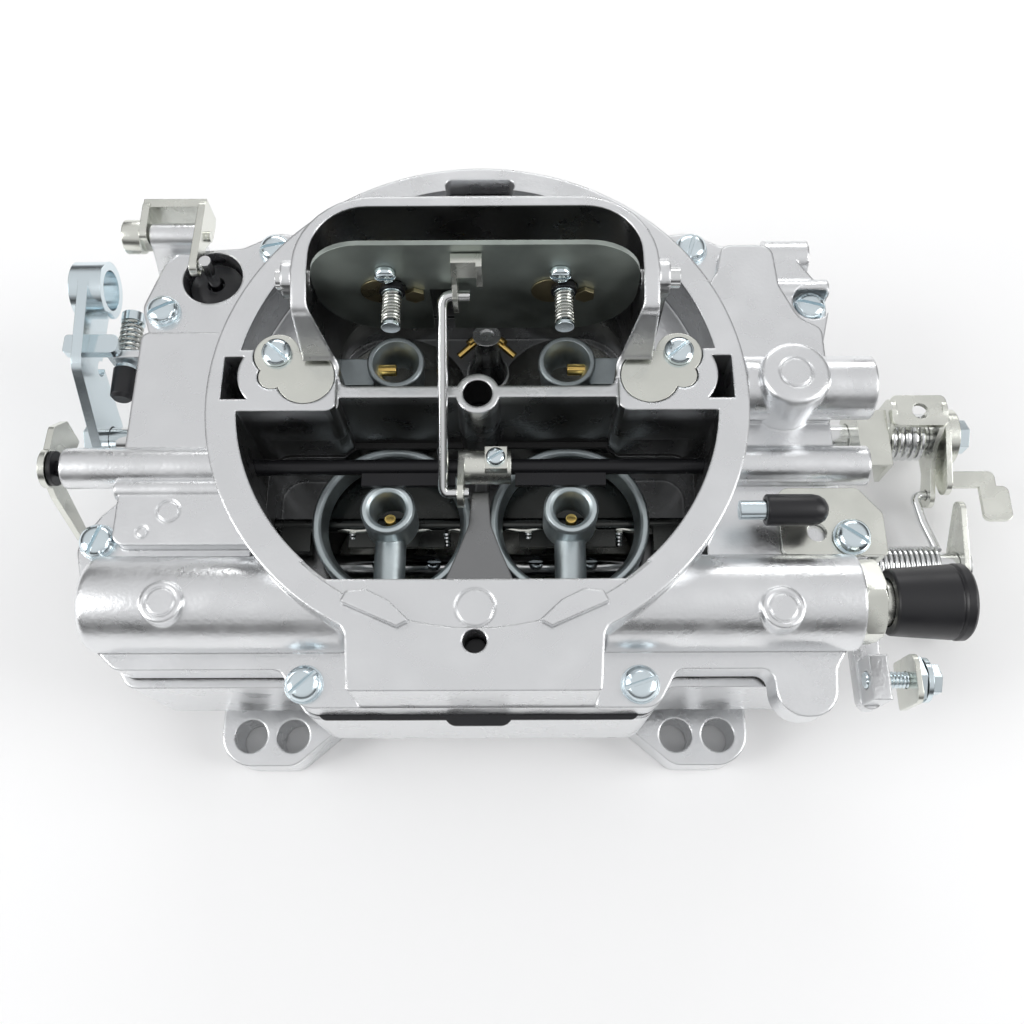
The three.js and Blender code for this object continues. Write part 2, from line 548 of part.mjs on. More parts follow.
// ---------------------------------------------------------------- air horn screws
function slottedScrew(headR, headHeight, shankR, shankLength) {
  return cut(
    join(
      taper([0, 0, GAP], [0, 0, GAP + headHeight], headR, headR * 0.85, 12),
      rodZ(0, 0, -shankLength, GAP + 0.1, shankR, 8),
    ),
    block(-headR - 1, headR + 1, -0.6, 0.6, GAP + headHeight - 1.4, GAP + headHeight + 1),
  );
}
HORN_SCREWS.forEach(([x, y, level], i) => {
  addPart(`air_horn_screw_${i + 1}`, slottedScrew(4.2, 3, 2.1, level - 44), 'brightZinc', [x, y, level]);
});

// ---------------------------------------------------------------- fuel inlet and vacuum tube
addPart('fuel_inlet_fitting', cut(
  join(
    rod([89.1, 0, 0], [94.3, 0, 0], 10.4, 6),
    rodX(83, 89.5, 0, 0, 7.8, 20),
    rodX(94.2, 99.4, 0, 0, 5.5, 20),
  ),
  rodX(84.5, 100, 0, 0, 3.6, 12),
), 'zincPlate', [0, FUEL_Y, FUEL_Z]);
addPart('fuel_inlet_cap', cut(
  taper([0, 0, 0], [18.4, 0, 0], 8, 9.3, 20),
  rodX(-1, 3.4, 0, 0, 5.9, 20),
), 'blackRubber', [97.2, FUEL_Y, FUEL_Z]);
addPart('vacuum_tube', cut(rodX(62.4, 76, 0, 0, 2.3, 8), rodX(70, 77, 0, 0, 1.4, 8)), 'brightZinc',
  [0, VACUUM.y, VACUUM.z]);
addPart('vacuum_cap', cut(
  join(rodX(0, 12.8, 0, 0, 3.8, 20), taper([12.7, 0, 0], [15, 0, 0], 3.8, 2.2, 20)),
  rodX(-1, 8.5, 0, 0, 2.6, 8),
), 'blackRubber', [68.5, VACUUM.y, VACUUM.z]);

// ---------------------------------------------------------------- fixed brackets
addPart('choke_cable_bracket', cut(
  join(
    slabZ([[74, -36.4, 2], [74, -18.8, 3], [94, -18.8, 2], [99.6, -25.6, 2], [99.6, -36.4, 1]], 66.3, 67.7),
    block(98.2, 99.6, -36, -26, 58, 67.5),
  ),
  rodZ(82.9, -30.5, 60, 70, 2.4, 8),
  rodZ(91, -32, 60, 70, SCREW_HOLE_R, 8),
), 'zincPlate');
addPart('cable_clamp_screw', join(
  rodX(0, 17, 0, 0, 2.1, 8),
  rodX(11.9, 14.8, 0, 0, 6.4, 6),
  rodX(15.1, 16.4, 0, 0, 6, 20),
  rodX(16.3, 19.4, 0, 0, 4.3, 6),
), 'brightZinc', [102, -60, 32.5]);
for (const [side, name] of SIDES) {
  addPart(`idle_mixture_screw_${name}`, cut(
    join(
      taper([0, -3.4, 0], [0, 0.6, 0], 0.5, 1.9, 8),
      rodY(0, 0.5, 22, 0, 1.9, 8),
      rodY(0, 13, 20, 0, 2.9, 8),
      rodY(0, 20, 24, 0, 3.8, 12),
    ),
    block(-5, 5, 22.9, 25, -0.5, 0.5),
  ), 'brightZinc', [side * MIXTURE.x, 52, MIXTURE.z]);
}
addPart('idle_speed_screw', cut(
  join(rodY(0, 26, 51, 0, 1.7, 8), rodY(0, 26.5, 35.4, 0, 3.4, 12), rodY(0, 50.3, 53.2, 0, 3.6, 12)),
  block(-5, 5, 52.2, 54, -0.5, 0.5),
), 'brightZinc', [SPEED_SCREW.x, 0, SPEED_SCREW.z]);

// ---------------------------------------------------------------- throttle shafts and plates
function throttleShaft(x0, x1, plateR) {
  const slots = [-BORE_X, BORE_X].map((x) => (
    block(x - plateR - 0.5, x + plateR + 0.5, -5, 5, -PLATE_THICKNESS / 2 - GAP, PLATE_THICKNESS / 2 + GAP)));
  const keepers = [-BORE_X, BORE_X].map((x) => rodZ(x, 0, -2, 2, 1, 8));
  return join(cut(rodX(x0, x1, 0, 0, THROTTLE_SHAFT_R), ...slots), ...keepers);
}
const disc = (r) => cut(
  rodZ(0, 0, -PLATE_THICKNESS / 2, PLATE_THICKNESS / 2, r, 32),
  rodZ(0, 0, -5, 5, 1.4, 8),
);

addPart('primary_throttle_shaft', throttleShaft(-124, 143.5, PRIMARY_R - 0.35), 'steelWire',
  [0, PRIMARY_Y, THROTTLE_Z]);
addPart('secondary_throttle_shaft', throttleShaft(-101, 143, SECONDARY_R - 0.35), 'steelWire',
  [0, SECONDARY_Y, THROTTLE_Z]);
for (const [side, name] of SIDES) {
  addPart(`primary_throttle_plate_${name}`, disc(PRIMARY_R - 0.35), 'zincPlate',
    [side * BORE_X, PRIMARY_Y, THROTTLE_Z]);
  addPart(`secondary_throttle_plate_${name}`, disc(SECONDARY_R - 0.35), 'zincPlate',
    [side * BORE_X, SECONDARY_Y, THROTTLE_Z]);
}
const primaryHole = (x0, x1) => rodX(x0, x1, PRIMARY_Y, THROTTLE_Z, THROTTLE_SHAFT_R + GAP + 0.05);
const secondaryHole = (x0, x1) => rodX(x0, x1, SECONDARY_Y, THROTTLE_Z, THROTTLE_SHAFT_R + GAP + 0.05);

addPart('throttle_lever', cut(
  join(
    barX([PRIMARY_Y, THROTTLE_Z, 9], [34, 38, 7], -119.5, -116.5),
    barX([34, 38, 7], [57.7, 40, 8.5], -119.5, -116.5),
    rodX(-122.5, -113, 57.7, 40, 8.5, 12),
    block(-124, -108, 35.6, 41.6, 38.5, 41.5),
  ),
  rodX(-125, -110, 57.7, 40, 6, 12),
  primaryHole(-125, -110),
  rodX(-125, -110, 36, 31, 2.5, 8),
), 'zincPlate');

// ---------------------------------------------------------------- throttle linkage on the fuel side
const CRANK = { y: -17.1, z: -6 };
addPart('secondary_drive_lever', cut(
  join(
    barX([PRIMARY_Y, THROTTLE_Z, 7], [22, 26, 4.5], 121.5, 123),
    barX([PRIMARY_Y, THROTTLE_Z, 7], [22, 26, 4.5], 136.6, 138.1),
    barX([PRIMARY_Y, THROTTLE_Z, 7], [9, 12, 3.5], 136.6, 138.1),
    barX([9, 12, 3.5], [PRIMARY_Y + CRANK.y, THROTTLE_Z + CRANK.z, 4], 136.6, 138.1),
    block(121.5, 138.1, 16.5, 26.4, 28.4, 30),
  ),
  primaryHole(120, 140),
  rodZ(130, 21.2, 25, 32, 2.5, 8),
  rodX(135, 140, PRIMARY_Y + CRANK.y, THROTTLE_Z + CRANK.z, 1.8, 8),
), 'zincPlate');
addPart('drive_lever_spring', coilX(124.4, 135.4, PRIMARY_Y, THROTTLE_Z, 6.4, 0.8, 5), 'steelWire');
addPart('drive_lever_bracket', cut(
  join(
    slabX([[4.8, 10, 2], [4.8, 27, 3], [24, 27, 3], [28, 12, 6], [15, 6.5, 6]], 111.8, 113.3),
    block(111.8, 120.8, 5, 23, 25.6, 27),
    block(119.4, 120.8, 5, 10, 14, 27),
  ),
  primaryHole(110, 122),
), 'zincPlate');
addPart('outer_fast_idle_lever', cut(
  join(
    barX([PRIMARY_Y, THROTTLE_Z, 9.4], [4, 16, 4], 139.3, 140.9),
    block(140.4, 154, 1.2, 6.2, 17.5, 19),
    block(149, 157.5, -9.5, 1.4, 17.5, 19),
    rodX(140.8, 144.2, PRIMARY_Y, THROTTLE_Z, 8.6, 20),
  ),
  primaryHole(138, 143.8),
  rodX(142, 146, PRIMARY_Y, THROTTLE_Z, 2.5, 8),
), 'zincPlate');

addPart('secondary_lever', cut(
  join(
    barX([SECONDARY_Y, THROTTLE_Z, 7], [SECONDARY_Y + CRANK.y, THROTTLE_Z + CRANK.z, 4], 139.4, 141),
    barX([SECONDARY_Y, THROTTLE_Z, 7], [-8, 22, 3], 139.4, 141),
  ),
  secondaryHole(138, 142),
  rodX(138, 142, SECONDARY_Y + CRANK.y, THROTTLE_Z + CRANK.z, 1.8, 8),
), 'zincPlate');

// The link rod lies along Y between two equal cranks; its ends turn out through the lever holes.
addPart('throttle_link_rod', wire([
  [138.8, 0, 0], [135.2, 0, 0], [133, -1.5, 0], [134.6, -9, 0], [137, -15, 0], [137.2, -30, 0],
  [137.2, -40.5, 0], [138.6, -42, 0], [142.6, -42, 0],
], LINK_R, 14), 'steelWire', [0, PRIMARY_Y + CRANK.y, THROTTLE_Z + CRANK.z]);

// ---------------------------------------------------------------- choke
function chokePlateOutline() {
  return outline([
    [-CHOKE_HALF_X, -CHOKE_BELOW, 16], [-CHOKE_HALF_X, CHOKE_ABOVE, 12.5], [CHOKE_HALF_X, CHOKE_ABOVE, 12.5],
    [CHOKE_HALF_X, -CHOKE_BELOW, 16],
  ]);
}
addPart('choke_plate', cut(
  plateY(chokePlateOutline(), -1.5, -0.3),
  block(-11, -5.8, -3, 1, -CHOKE_BELOW - 1, -2),
  rodY(-19.5, -4, 2, -1, 3.3, 12),
  rodY(20.5, -4, 2, -1, 3.3, 12),
), 'darkZinc', [0, CHOKE.y, CHOKE.z]);
addPart('choke_shaft', cut(
  rodX(-46.4, 47.4, 0, 0, CHOKE_SHAFT_R),
  block(-38.3, 38.3, -3, 0, -3, 3),
), 'steelWire', [0, CHOKE.y, CHOKE.z]);
addPart('choke_lever', cut(
  join(
    block(-5.2, 1.8, -4.2, -1.8, 6.5, 12.5),
    block(0.4, 1.8, -5.2, -1.8, 4.5, 12.5),
    slabX([[-1.8, 12.5], [-4.2, 12.5], [-5, 5], [-7.2, 2.6, 2], [-7.2, -4.6, 2], [-1.8, -4.6]], -5.2, -4),
  ),
  rodX(-6, -3, LINK_TOP.y - CHOKE.y, LINK_TOP.z - CHOKE.z, 2.2, 8),
), 'zincPlate', [0, CHOKE.y, CHOKE.z]);
for (const [side, name] of SIDES) {
  addPart(`choke_relief_valve_${name}`, join(
    rodY(0, -12.5, -0.4, 0, 1, 8),
    rodY(0, -11.5, -3.5, 0, 2.2, 8),
    rodY(0, -3.6, -1.8, 0, 2.9, 8),
  ), 'brightZinc', [side * 20 + 0.5, CHOKE.y, CHOKE.z - 1]);
}
addPart('choke_link_rod', wire([
  [6.4, 0, 0], [2.2, 0, 0], [0, -1.6, -1.2], [-0.4, -19, -14.3], [-0.7, -36.4, -27.4], [1.2, -38.1, -28.6],
  [5.4, -38.1, -28.6],
], LINK_R, 12), 'steelWire', [-7.8, LINK_TOP.y, LINK_TOP.z]);

// ---------------------------------------------------------------- air valve
addPart('air_valve', cut(
  join(
    rodX(-109.8, 57, 0, 0, AIR_VALVE_SHAFT_R, 12),
    block(-29.5, -6, -5.2, -1, -0.8, 0.6),
    block(9, 31.7, -5.2, -1, -0.8, 0.6),
  ),
  block(-109, 57, -3, 3, 5, 6),
), 'blackSteel', [0, AIR_VALVE.y, AIR_VALVE.z]);
addPart('air_valve_clamp', cut(
  join(
    rodX(-4, 8, 0, 0, 4.4, 12),
    block(1.5, 7, -3, 3, 1, 6),
    barX([0, 0, 4.4], [LINK_BOTTOM.y - AIR_VALVE.y, LINK_BOTTOM.z - AIR_VALVE.z, 3.6], -5.2, -3.6),
  ),
  rodX(-6, 9, 0, 0, AIR_VALVE_SHAFT_R + GAP, 12),
  rodX(-6, -3, LINK_BOTTOM.y - AIR_VALVE.y, LINK_BOTTOM.z - AIR_VALVE.z, 2.3, 8),
), 'zincPlate', [0, AIR_VALVE.y, AIR_VALVE.z]);
addPart('air_valve_lever', cut(
  join(
    slabX([[-14, 70.5, 1], [-2, 69.5, 2], [2.5, 63.5, 1], [0.5, 55], [-2.5, 56], [-4, 61, 1], [-13.5, 60, 1],
      [-20, 42.5], [-23.5, 43.5], [-18.5, 62, 1]], -109.5, -107.9),
    rodX(-109.5, -107.9, AIR_VALVE.y, AIR_VALVE.z, 5),
  ),
  rodX(-112, -105, AIR_VALVE.y, AIR_VALVE.z, AIR_VALVE_SHAFT_R + GAP, 12),
), 'zincPlate');

// ---------------------------------------------------------------- auxiliary valve in the secondary wells
function auxiliaryFlap(side) {
  const cx = side * BORE_X;
  const front = rodZ(cx, SECONDARY_Y, -0.6, 0.6, 20.3, 20).intersect(
    block(cx - 30, cx + 30, AUX_VALVE.y, 0, -1, 1));
  const [weight0, weight1] = span(side, 46, 54);
  const [arm0, arm1] = span(side, 44.6, 54);
  return join(
    front,
    block(cx - 13, cx + 13, AUX_VALVE.y - 6.5, AUX_VALVE.y + 1, -0.6, 0.6),
    block(weight0, weight1, AUX_VALVE.y - 8, AUX_VALVE.y - 1, -1.6, 1.6),
    block(arm0, arm1, AUX_VALVE.y - 3, AUX_VALVE.y + 1, -0.8, 0.8),
  );
}
const auxShaft = rodX(-57, 57, AUX_VALVE.y, 0, AUX_SHAFT_R, 12);
addPart('auxiliary_valve', join(auxShaft, auxiliaryFlap(-1), auxiliaryFlap(1)), 'castAluminium',
  [0, 0, AUX_VALVE.z]);

// ---------------------------------------------------------------- floats, needles and metering pistons
for (const [side, name] of SIDES) {
  addPart(`float_${name}`, join(
    slabZ([[-9.5, -38, 4], [-9.5, 16, 5], [9.5, 16, 5], [9.5, -38, 4]], 31, 46),
    block(-6, 6, -48, -37, 45, 46.4),
    block(-6, 6, -51, -47, 46, 47.6),
    rodX(-8.5, 8.5, -52, 48.4, 1.5, 8),
    block(-6, 6, -52, -47, 46.6, 48.4),
  ), 'floatFoam', [side * FLOAT_X, 0, 0]);
  addPart(`inlet_needle_${name}`, join(
    rodZ(0, 0, 48.9, 57.4, 2.3, 8),
    taper([0, 0, 57.3], [0, 0, 60.4], 2.3, 0.8, 8),
  ), 'brass', [side * FLOAT_X, -46, 0]);
  addPart(`step_up_piston_${name}`, join(
    rodZ(0, 0, 60, 72, 4.5, 12),
    rodZ(0, 0, 34, 60.1, 1.1, 8),
  ), 'brass', [side * METER_X, METER_Y, 0]);
}

// ---------------------------------------------------------------- accelerator pump
const PUMP_PIN = { y: -12.2, z: 3.4 };
const pumpPivotPin = join(rodX(-93.6, -74.6, 0, 0, 1.5, 8), rodX(-98, -92.8, 0, 0, 4.6, 12));
addPart('pump_lever', cut(
  join(
    slabX([[-3, -3.6, 2], [-3, 4.5, 2], [9, 4.5, 2], [9.4, -5.5, 2]], -93, -91),
    slabX([[-14.5, 1, 2], [-14.5, 6, 2], [9, 4.5, 2], [9.4, -5.5, 2], [3, -5, 2], [-4, 0, 2]], -77.7, -75.7),
    block(-93, -75.7, 7, 9.6, -5, 4),
  ),
  rodX(-80, -74, PUMP_PIN.y, PUMP_PIN.z, 2, 8),
).add(pumpPivotPin), 'zincPlate', [0, PUMP_PIVOT.y, PUMP_PIVOT.z]);
addPart('pump_plunger', join(
  rodZ(0, 0, 45, 74, 1.6, 8),
  rodZ(0, 0, 39, 45.1, 6.1, 20),
  rodX(-4.8, 0, 0, PUMP_PIVOT.z + PUMP_PIN.z, 1.1, 8),
), 'steelWire', [PUMP_X, PUMP_Y, 0]);

export default carburetor;
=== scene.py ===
"""Four-barrel carburetor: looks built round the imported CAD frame.

Shapes are drawn in millimetres in the CAD frame and set in metres at the end.
"""
import json
import math
import random
from types import SimpleNamespace as P

import bpy
from mathutils import Matrix, Vector


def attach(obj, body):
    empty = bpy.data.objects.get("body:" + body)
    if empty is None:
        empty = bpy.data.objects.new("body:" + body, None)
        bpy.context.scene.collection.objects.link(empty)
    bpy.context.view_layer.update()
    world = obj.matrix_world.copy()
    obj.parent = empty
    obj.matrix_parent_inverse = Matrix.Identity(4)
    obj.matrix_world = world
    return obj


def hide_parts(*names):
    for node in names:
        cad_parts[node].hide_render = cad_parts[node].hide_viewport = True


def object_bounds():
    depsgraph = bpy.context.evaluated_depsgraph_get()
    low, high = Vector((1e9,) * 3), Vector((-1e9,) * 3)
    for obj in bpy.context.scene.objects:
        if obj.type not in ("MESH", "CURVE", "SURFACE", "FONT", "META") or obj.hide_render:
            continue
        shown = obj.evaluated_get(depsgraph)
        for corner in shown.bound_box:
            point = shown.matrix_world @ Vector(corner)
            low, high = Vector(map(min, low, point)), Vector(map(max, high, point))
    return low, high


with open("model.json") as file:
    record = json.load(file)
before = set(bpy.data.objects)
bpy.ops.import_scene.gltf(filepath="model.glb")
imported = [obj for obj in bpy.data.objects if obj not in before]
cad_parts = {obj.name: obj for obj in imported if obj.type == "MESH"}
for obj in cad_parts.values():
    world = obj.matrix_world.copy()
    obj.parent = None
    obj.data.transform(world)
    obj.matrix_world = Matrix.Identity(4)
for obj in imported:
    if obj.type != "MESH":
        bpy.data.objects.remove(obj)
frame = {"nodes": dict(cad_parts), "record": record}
cad_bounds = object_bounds()
BODY_OF = {n: b for b, nodes in frame["record"]["behaviour"]["bodies"].items() for n in nodes}
MM = 0.001

# ------------------------------------------------------------------ driving dimensions, in mm
GAP = 0.3
FLANGE_TOP = 12.2
BODY_TOP = 55.2
GASKET = (55.5, 56.6)
HORN_BOTTOM = 56.9
SCREW_LEVEL = 66
PLATEAU_TOP = 70
SEAT_TOP = 85
TOWER_TOP = 105
SEAT_OUTER_R = 65.1
SEAT_INNER_R = 58.8
BORE_X = 23
PRIMARY_Y = 19.5
SECONDARY_Y = -22.5
PRIMARY_R = 18.3
SECONDARY_R = 21.4
THROTTLE_Z = 15
SHAFT_R = 4
BOLT_X = (53.98, 65.88)
BOLT_Y = 71.44
FUEL = P(y=-48.5, z=68.5, r=11.5)
AIR_VALVE = P(y=-12.5, z=67, r=2)
AUX_VALVE = P(y=-19.5, z=43.5, r=1.8)
CHOKE = P(y=21, z=100, r=2.4, half_x=37.9, above=15.2, below=19.3)
METER = P(x=42, y=4.5, r=5)
PUMP = P(x=-73.5, y=44.5, well_r=6.6)
PUMP_PIVOT = P(y=56.5, z=68)
FLOAT_X = 72.5
LINK_TOP = P(y=17.1, z=99.1)
LINK_BOTTOM = P(y=-21, z=70.5)
LINK_R = 1.3
CRANK = P(y=-17.1, z=-6)
MIXTURE = P(x=20, z=21)
VACUUM = P(y=-27.8, z=76)
SPEED_SCREW = P(x=-108, z=33)
CHAMBER_FLOOR = 38.5
CHAMBER_REAR = -44.2
WELL_FRONT = -59
STEM_HALF = 9
METER_SCREW = P(x=48.9, y=10)
HUB = P(r=3.6, floor=62)
PLATE_GAP = 0.35
SIDES = ((-1, "left"), (1, "right"))
HEX = 6
RING_SIDES = 180
HOLE_SIDES = 20
SMOOTH_ANGLE = math.radians(32)


# ------------------------------------------------------------------ solids
def new_object(name, vertices, faces):
    mesh = bpy.data.meshes.new(name)
    mesh.from_pydata(vertices, [], faces)
    mesh.update()
    obj = bpy.data.objects.new(name, mesh)
    bpy.context.scene.collection.objects.link(obj)
    return obj


def remove(obj):
    mesh = obj.data
    bpy.data.objects.remove(obj)
    bpy.data.meshes.remove(mesh)


def combine(target, tool, operation):
    modifier = target.modifiers.new("combine", "BOOLEAN")
    modifier.operation = operation
    modifier.solver = "MANIFOLD"
    modifier.object = tool
    graph = bpy.context.evaluated_depsgraph_get()
    mesh = bpy.data.meshes.new_from_object(target.evaluated_get(graph))
    target.modifiers.clear()
    old = target.data
    target.data = mesh
    bpy.data.meshes.remove(old)
    remove(tool)
    return target


def join(first, *others):
    for other in others:
        combine(first, other, "UNION")
    return first


def cut(first, *others):
    for other in others:
        combine(first, other, "DIFFERENCE")
    return first


def overlap(first, other):
    return combine(first, other, "INTERSECT")


def round_sides(radius):
    return int(max(20, min(128, 12 + 5 * radius)))


def around(centre, across, up, radius, angle):
    return centre + radius * (across * math.cos(angle) + up * math.sin(angle))


def ring_points(centre, across, up, radius, sides):
    return [around(centre, across, up, radius, 2 * math.pi * k / sides) for k in range(sides)]


def skin(name, vertices, sides):
    """A closed solid over a row of rings, each of them with the given number of vertices."""
    last = len(vertices) - sides
    faces = []
    for ring in range(0, last, sides):
        for k in range(sides):
            a, b = ring + k, ring + (k + 1) % sides
            faces.append((a, b, b + sides, a + sides))
    faces.append(tuple(reversed(range(sides))))
    faces.append(tuple(range(last, last + sides)))
    return new_object(name, vertices, faces)


def revolve(start, end, profile, sides=None):
    """A turned solid: profile is (distance from start, radius) along the line from start to end."""
    sides = sides or round_sides(max(r for _, r in profile))
    origin = Vector(start)
    along = (Vector(end) - origin).normalized()
    across = along.orthogonal().normalized()
    if sides <= HEX:
        across = Vector((0, 0, 1)) if abs(along.z) < 0.5 else Vector((1, 0, 0))
    up = along.cross(across)
    vertices = []
    for distance, radius in profile:
        vertices += ring_points(origin + along * distance, across, up, radius, sides)
    return skin("turned", vertices, sides)


def taper(start, end, start_r, end_r, sides=None):
    length = (Vector(end) - Vector(start)).length
    return revolve(start, end, [(0, start_r), (length, end_r)], sides)


def rod(start, end, r, sides=None):
    return taper(start, end, r, r, sides)


def rod_x(x0, x1, y, z, r):
    return rod((x0, y, z), (x1, y, z), r)


def rod_y(x, y0, y1, z, r):
    return rod((x, y0, z), (x, y1, z), r)


def rod_z(x, y, z0, z1, r, sides=None):
    return rod((x, y, z0), (x, y, z1), r, sides)


def soft_rod(start, end, r, edge):
    """A cylinder whose two ends are rounded over by edge."""
    length = (Vector(end) - Vector(start)).length
    steps = 5
    arc = [(edge * (1 - math.cos(a)), r - edge * (1 - math.sin(a)))
           for a in (math.pi / 2 * k / steps for k in range(steps + 1))]
    return revolve(start, end, arc + [(length - d, q) for d, q in reversed(arc)])


def block(x0, x1, y0, y1, z0, z1):
    vertices = [(x, y, z) for z in (z0, z1) for x, y in ((x0, y0), (x1, y0), (x1, y1), (x0, y1))]
    faces = [(3, 2, 1, 0), (4, 5, 6, 7), (0, 1, 5, 4), (1, 2, 6, 5), (2, 3, 7, 6), (3, 0, 4, 7)]
    return new_object("block", vertices, faces)


def outline(corners):
    """Points of an outline from corners (u, v, radius); a radius rounds its corner with an arc."""
    points = []
    for i, corner in enumerate(corners):
        here = Vector(corner[:2])
        radius = corner[2] if len(corner) > 2 else 0
        back = (Vector(corners[i - 1][:2]) - here).normalized()
        ahead = (Vector(corners[(i + 1) % len(corners)][:2]) - here).normalized()
        half = math.acos(max(-1, min(1, back.dot(ahead)))) / 2
        if radius == 0 or half > 1.5:
            points.append(here)
            continue
        reach = radius / math.tan(half)
        centre = here + (back + ahead).normalized() * (radius / math.sin(half))
        start = here + back * reach - centre
        sweep = math.pi - 2 * half
        turn = -1 if back.cross(ahead) > 0 else 1
        steps = max(2, math.ceil(sweep / math.radians(9)))
        for s in range(steps + 1):
            angle = turn * sweep * s / steps
            c, n = math.cos(angle), math.sin(angle)
            points.append(centre + Vector((start.x * c - start.y * n, start.x * n + start.y * c)))
    return points


def mirrored(half):
    """An outline from its left half, whose mirror image follows it in reverse."""
    return half + [(-x, *rest) for x, *rest in reversed(half)]


def bar_outline(first, last, steps=16):
    """The outline round a straight bar with round ends; first and last are (u, v, radius)."""
    u0, v0, r0 = first
    u1, v1, r1 = last
    heading = math.atan2(v1 - v0, u1 - u0)
    spread = math.acos((r0 - r1) / math.hypot(u1 - u0, v1 - v0))
    points = []
    for s in range(steps + 1):
        angle = heading + spread + (2 * math.pi - 2 * spread) * s / steps
        points.append(Vector((u0 + r0 * math.cos(angle), v0 + r0 * math.sin(angle))))
    for s in range(steps + 1):
        angle = heading - spread + 2 * spread * s / steps
        points.append(Vector((u1 + r1 * math.cos(angle), v1 + r1 * math.sin(angle))))
    return points


def area(points):
    return sum(a.x * b.y - b.x * a.y for a, b in zip(points, points[1:] + points[:1])) / 2


def prism(points, low, high, place):
    """An upright solid over an outline; place puts (u, v, level) into x, y and z."""
    if area(points) < 0:
        points = points[::-1]
    n = len(points)
    vertices = [place(p.x, p.y, level) for level in (low, high) for p in points]
    faces = [tuple(reversed(range(n))), tuple(range(n, 2 * n))]
    faces += [(k, (k + 1) % n, n + (k + 1) % n, n + k) for k in range(n)]
    return new_object("prism", vertices, faces)


def plate_z(points, z0, z1):
    return prism(points, z0, z1, lambda u, v, w: (u, v, w))


def plate_x(points, x0, x1):
    return prism(points, x0, x1, lambda u, v, w: (w, u, v))


def plate_y(points, y0, y1):
    return prism([Vector((p.y, p.x)) for p in points], y0, y1, lambda u, v, w: (v, w, u))


def slab_z(corners, z0, z1):
    return plate_z(outline(corners), z0, z1)


def slab_x(corners, x0, x1):
    return plate_x(outline(corners), x0, x1)


def pad(x0, x1, y0, y1, r, z0, z1):
    """A block whose upright edges are rounded by r."""
    return slab_z([(x0, y0, r), (x0, y1, r), (x1, y1, r), (x1, y0, r)], z0, z1)


def bar_x(first, last, x0, x1):
    return plate_x(bar_outline(first, last), x0, x1)


def bent(points, radius):
    """A polyline with each inner corner rounded by radius."""
    points = [Vector(p) for p in points]
    out = [points[0]]
    for before, here, after in zip(points, points[1:], points[2:]):
        back, ahead = (before - here).normalized(), (after - here).normalized()
        half = back.angle(ahead) / 2
        if half > 1.5:
            out.append(here)
            continue
        reach = min(radius / math.tan(half), 0.45 * (before - here).length, 0.45 * (after - here).length)
        steps = 8
        for t in (s / steps for s in range(steps + 1)):
            out.append((here + back * reach * (1 - t)).lerp(here + ahead * reach * t, t))
    return out + [points[-1]]


def tube(points, radius, sides=16):
    """A round wire through the points."""
    points = [Vector(p) for p in points]
    vertices = []
    across = None
    for i, here in enumerate(points):
        heading = (points[min(i + 1, len(points) - 1)] - points[max(i - 1, 0)]).normalized()
        if across is None:
            across = heading.orthogonal().normalized()
        across = (across - heading * across.dot(heading)).normalized()
        vertices += ring_points(here, across, heading.cross(across), radius, sides)
    return skin("tube", vertices, sides)


def spring(start, end, coil_r, wire_r, turns, steps=28):
    """A coil spring round the line from start to end."""
    start, end = Vector(start), Vector(end)
    along = (end - start).normalized()
    across = along.orthogonal().normalized()
    up = along.cross(across)
    count = int(turns * steps)
    return tube([around(start.lerp(end, s / count), across, up, coil_r, 2 * math.pi * s / steps)
                 for s in range(count + 1)], wire_r, 10)


def thread(start, end, r, pitch=1.0):
    """A screw's threaded shank, drawn as plain rings and not as a helix."""
    length = (Vector(end) - Vector(start)).length
    count = max(2, int(length / pitch))
    root = r * 0.82
    profile = []
    for k in range(count):
        base = length * k / count
        profile += [(base, root), (base + length / count * 0.5, r)]
    return revolve(start, end, profile + [(length, root)], 24)


def span(side, near, far):
    """The two x values of a range on one side of the middle, the lower one first."""
    return (near, far) if side > 0 else (-far, -near)


def shift(obj, x=0, y=0, z=0):
    obj.data.transform(Matrix.Translation((x, y, z)))
    return obj


# ------------------------------------------------------------------ materials
def link(tree, source, socket, target, name):
    tree.links.new(source.outputs[socket], target.inputs[name])


def math_node(tree, operation, first, second=0.0):
    """The result of a maths node whose inputs are sockets or plain numbers."""
    node = tree.nodes.new("ShaderNodeMath")
    node.operation = operation
    for socket, value in zip(node.inputs, (first, second)):
        if isinstance(value, (int, float)):
            socket.default_value = value
        else:
            tree.links.new(value, socket)
    return node.outputs[0]


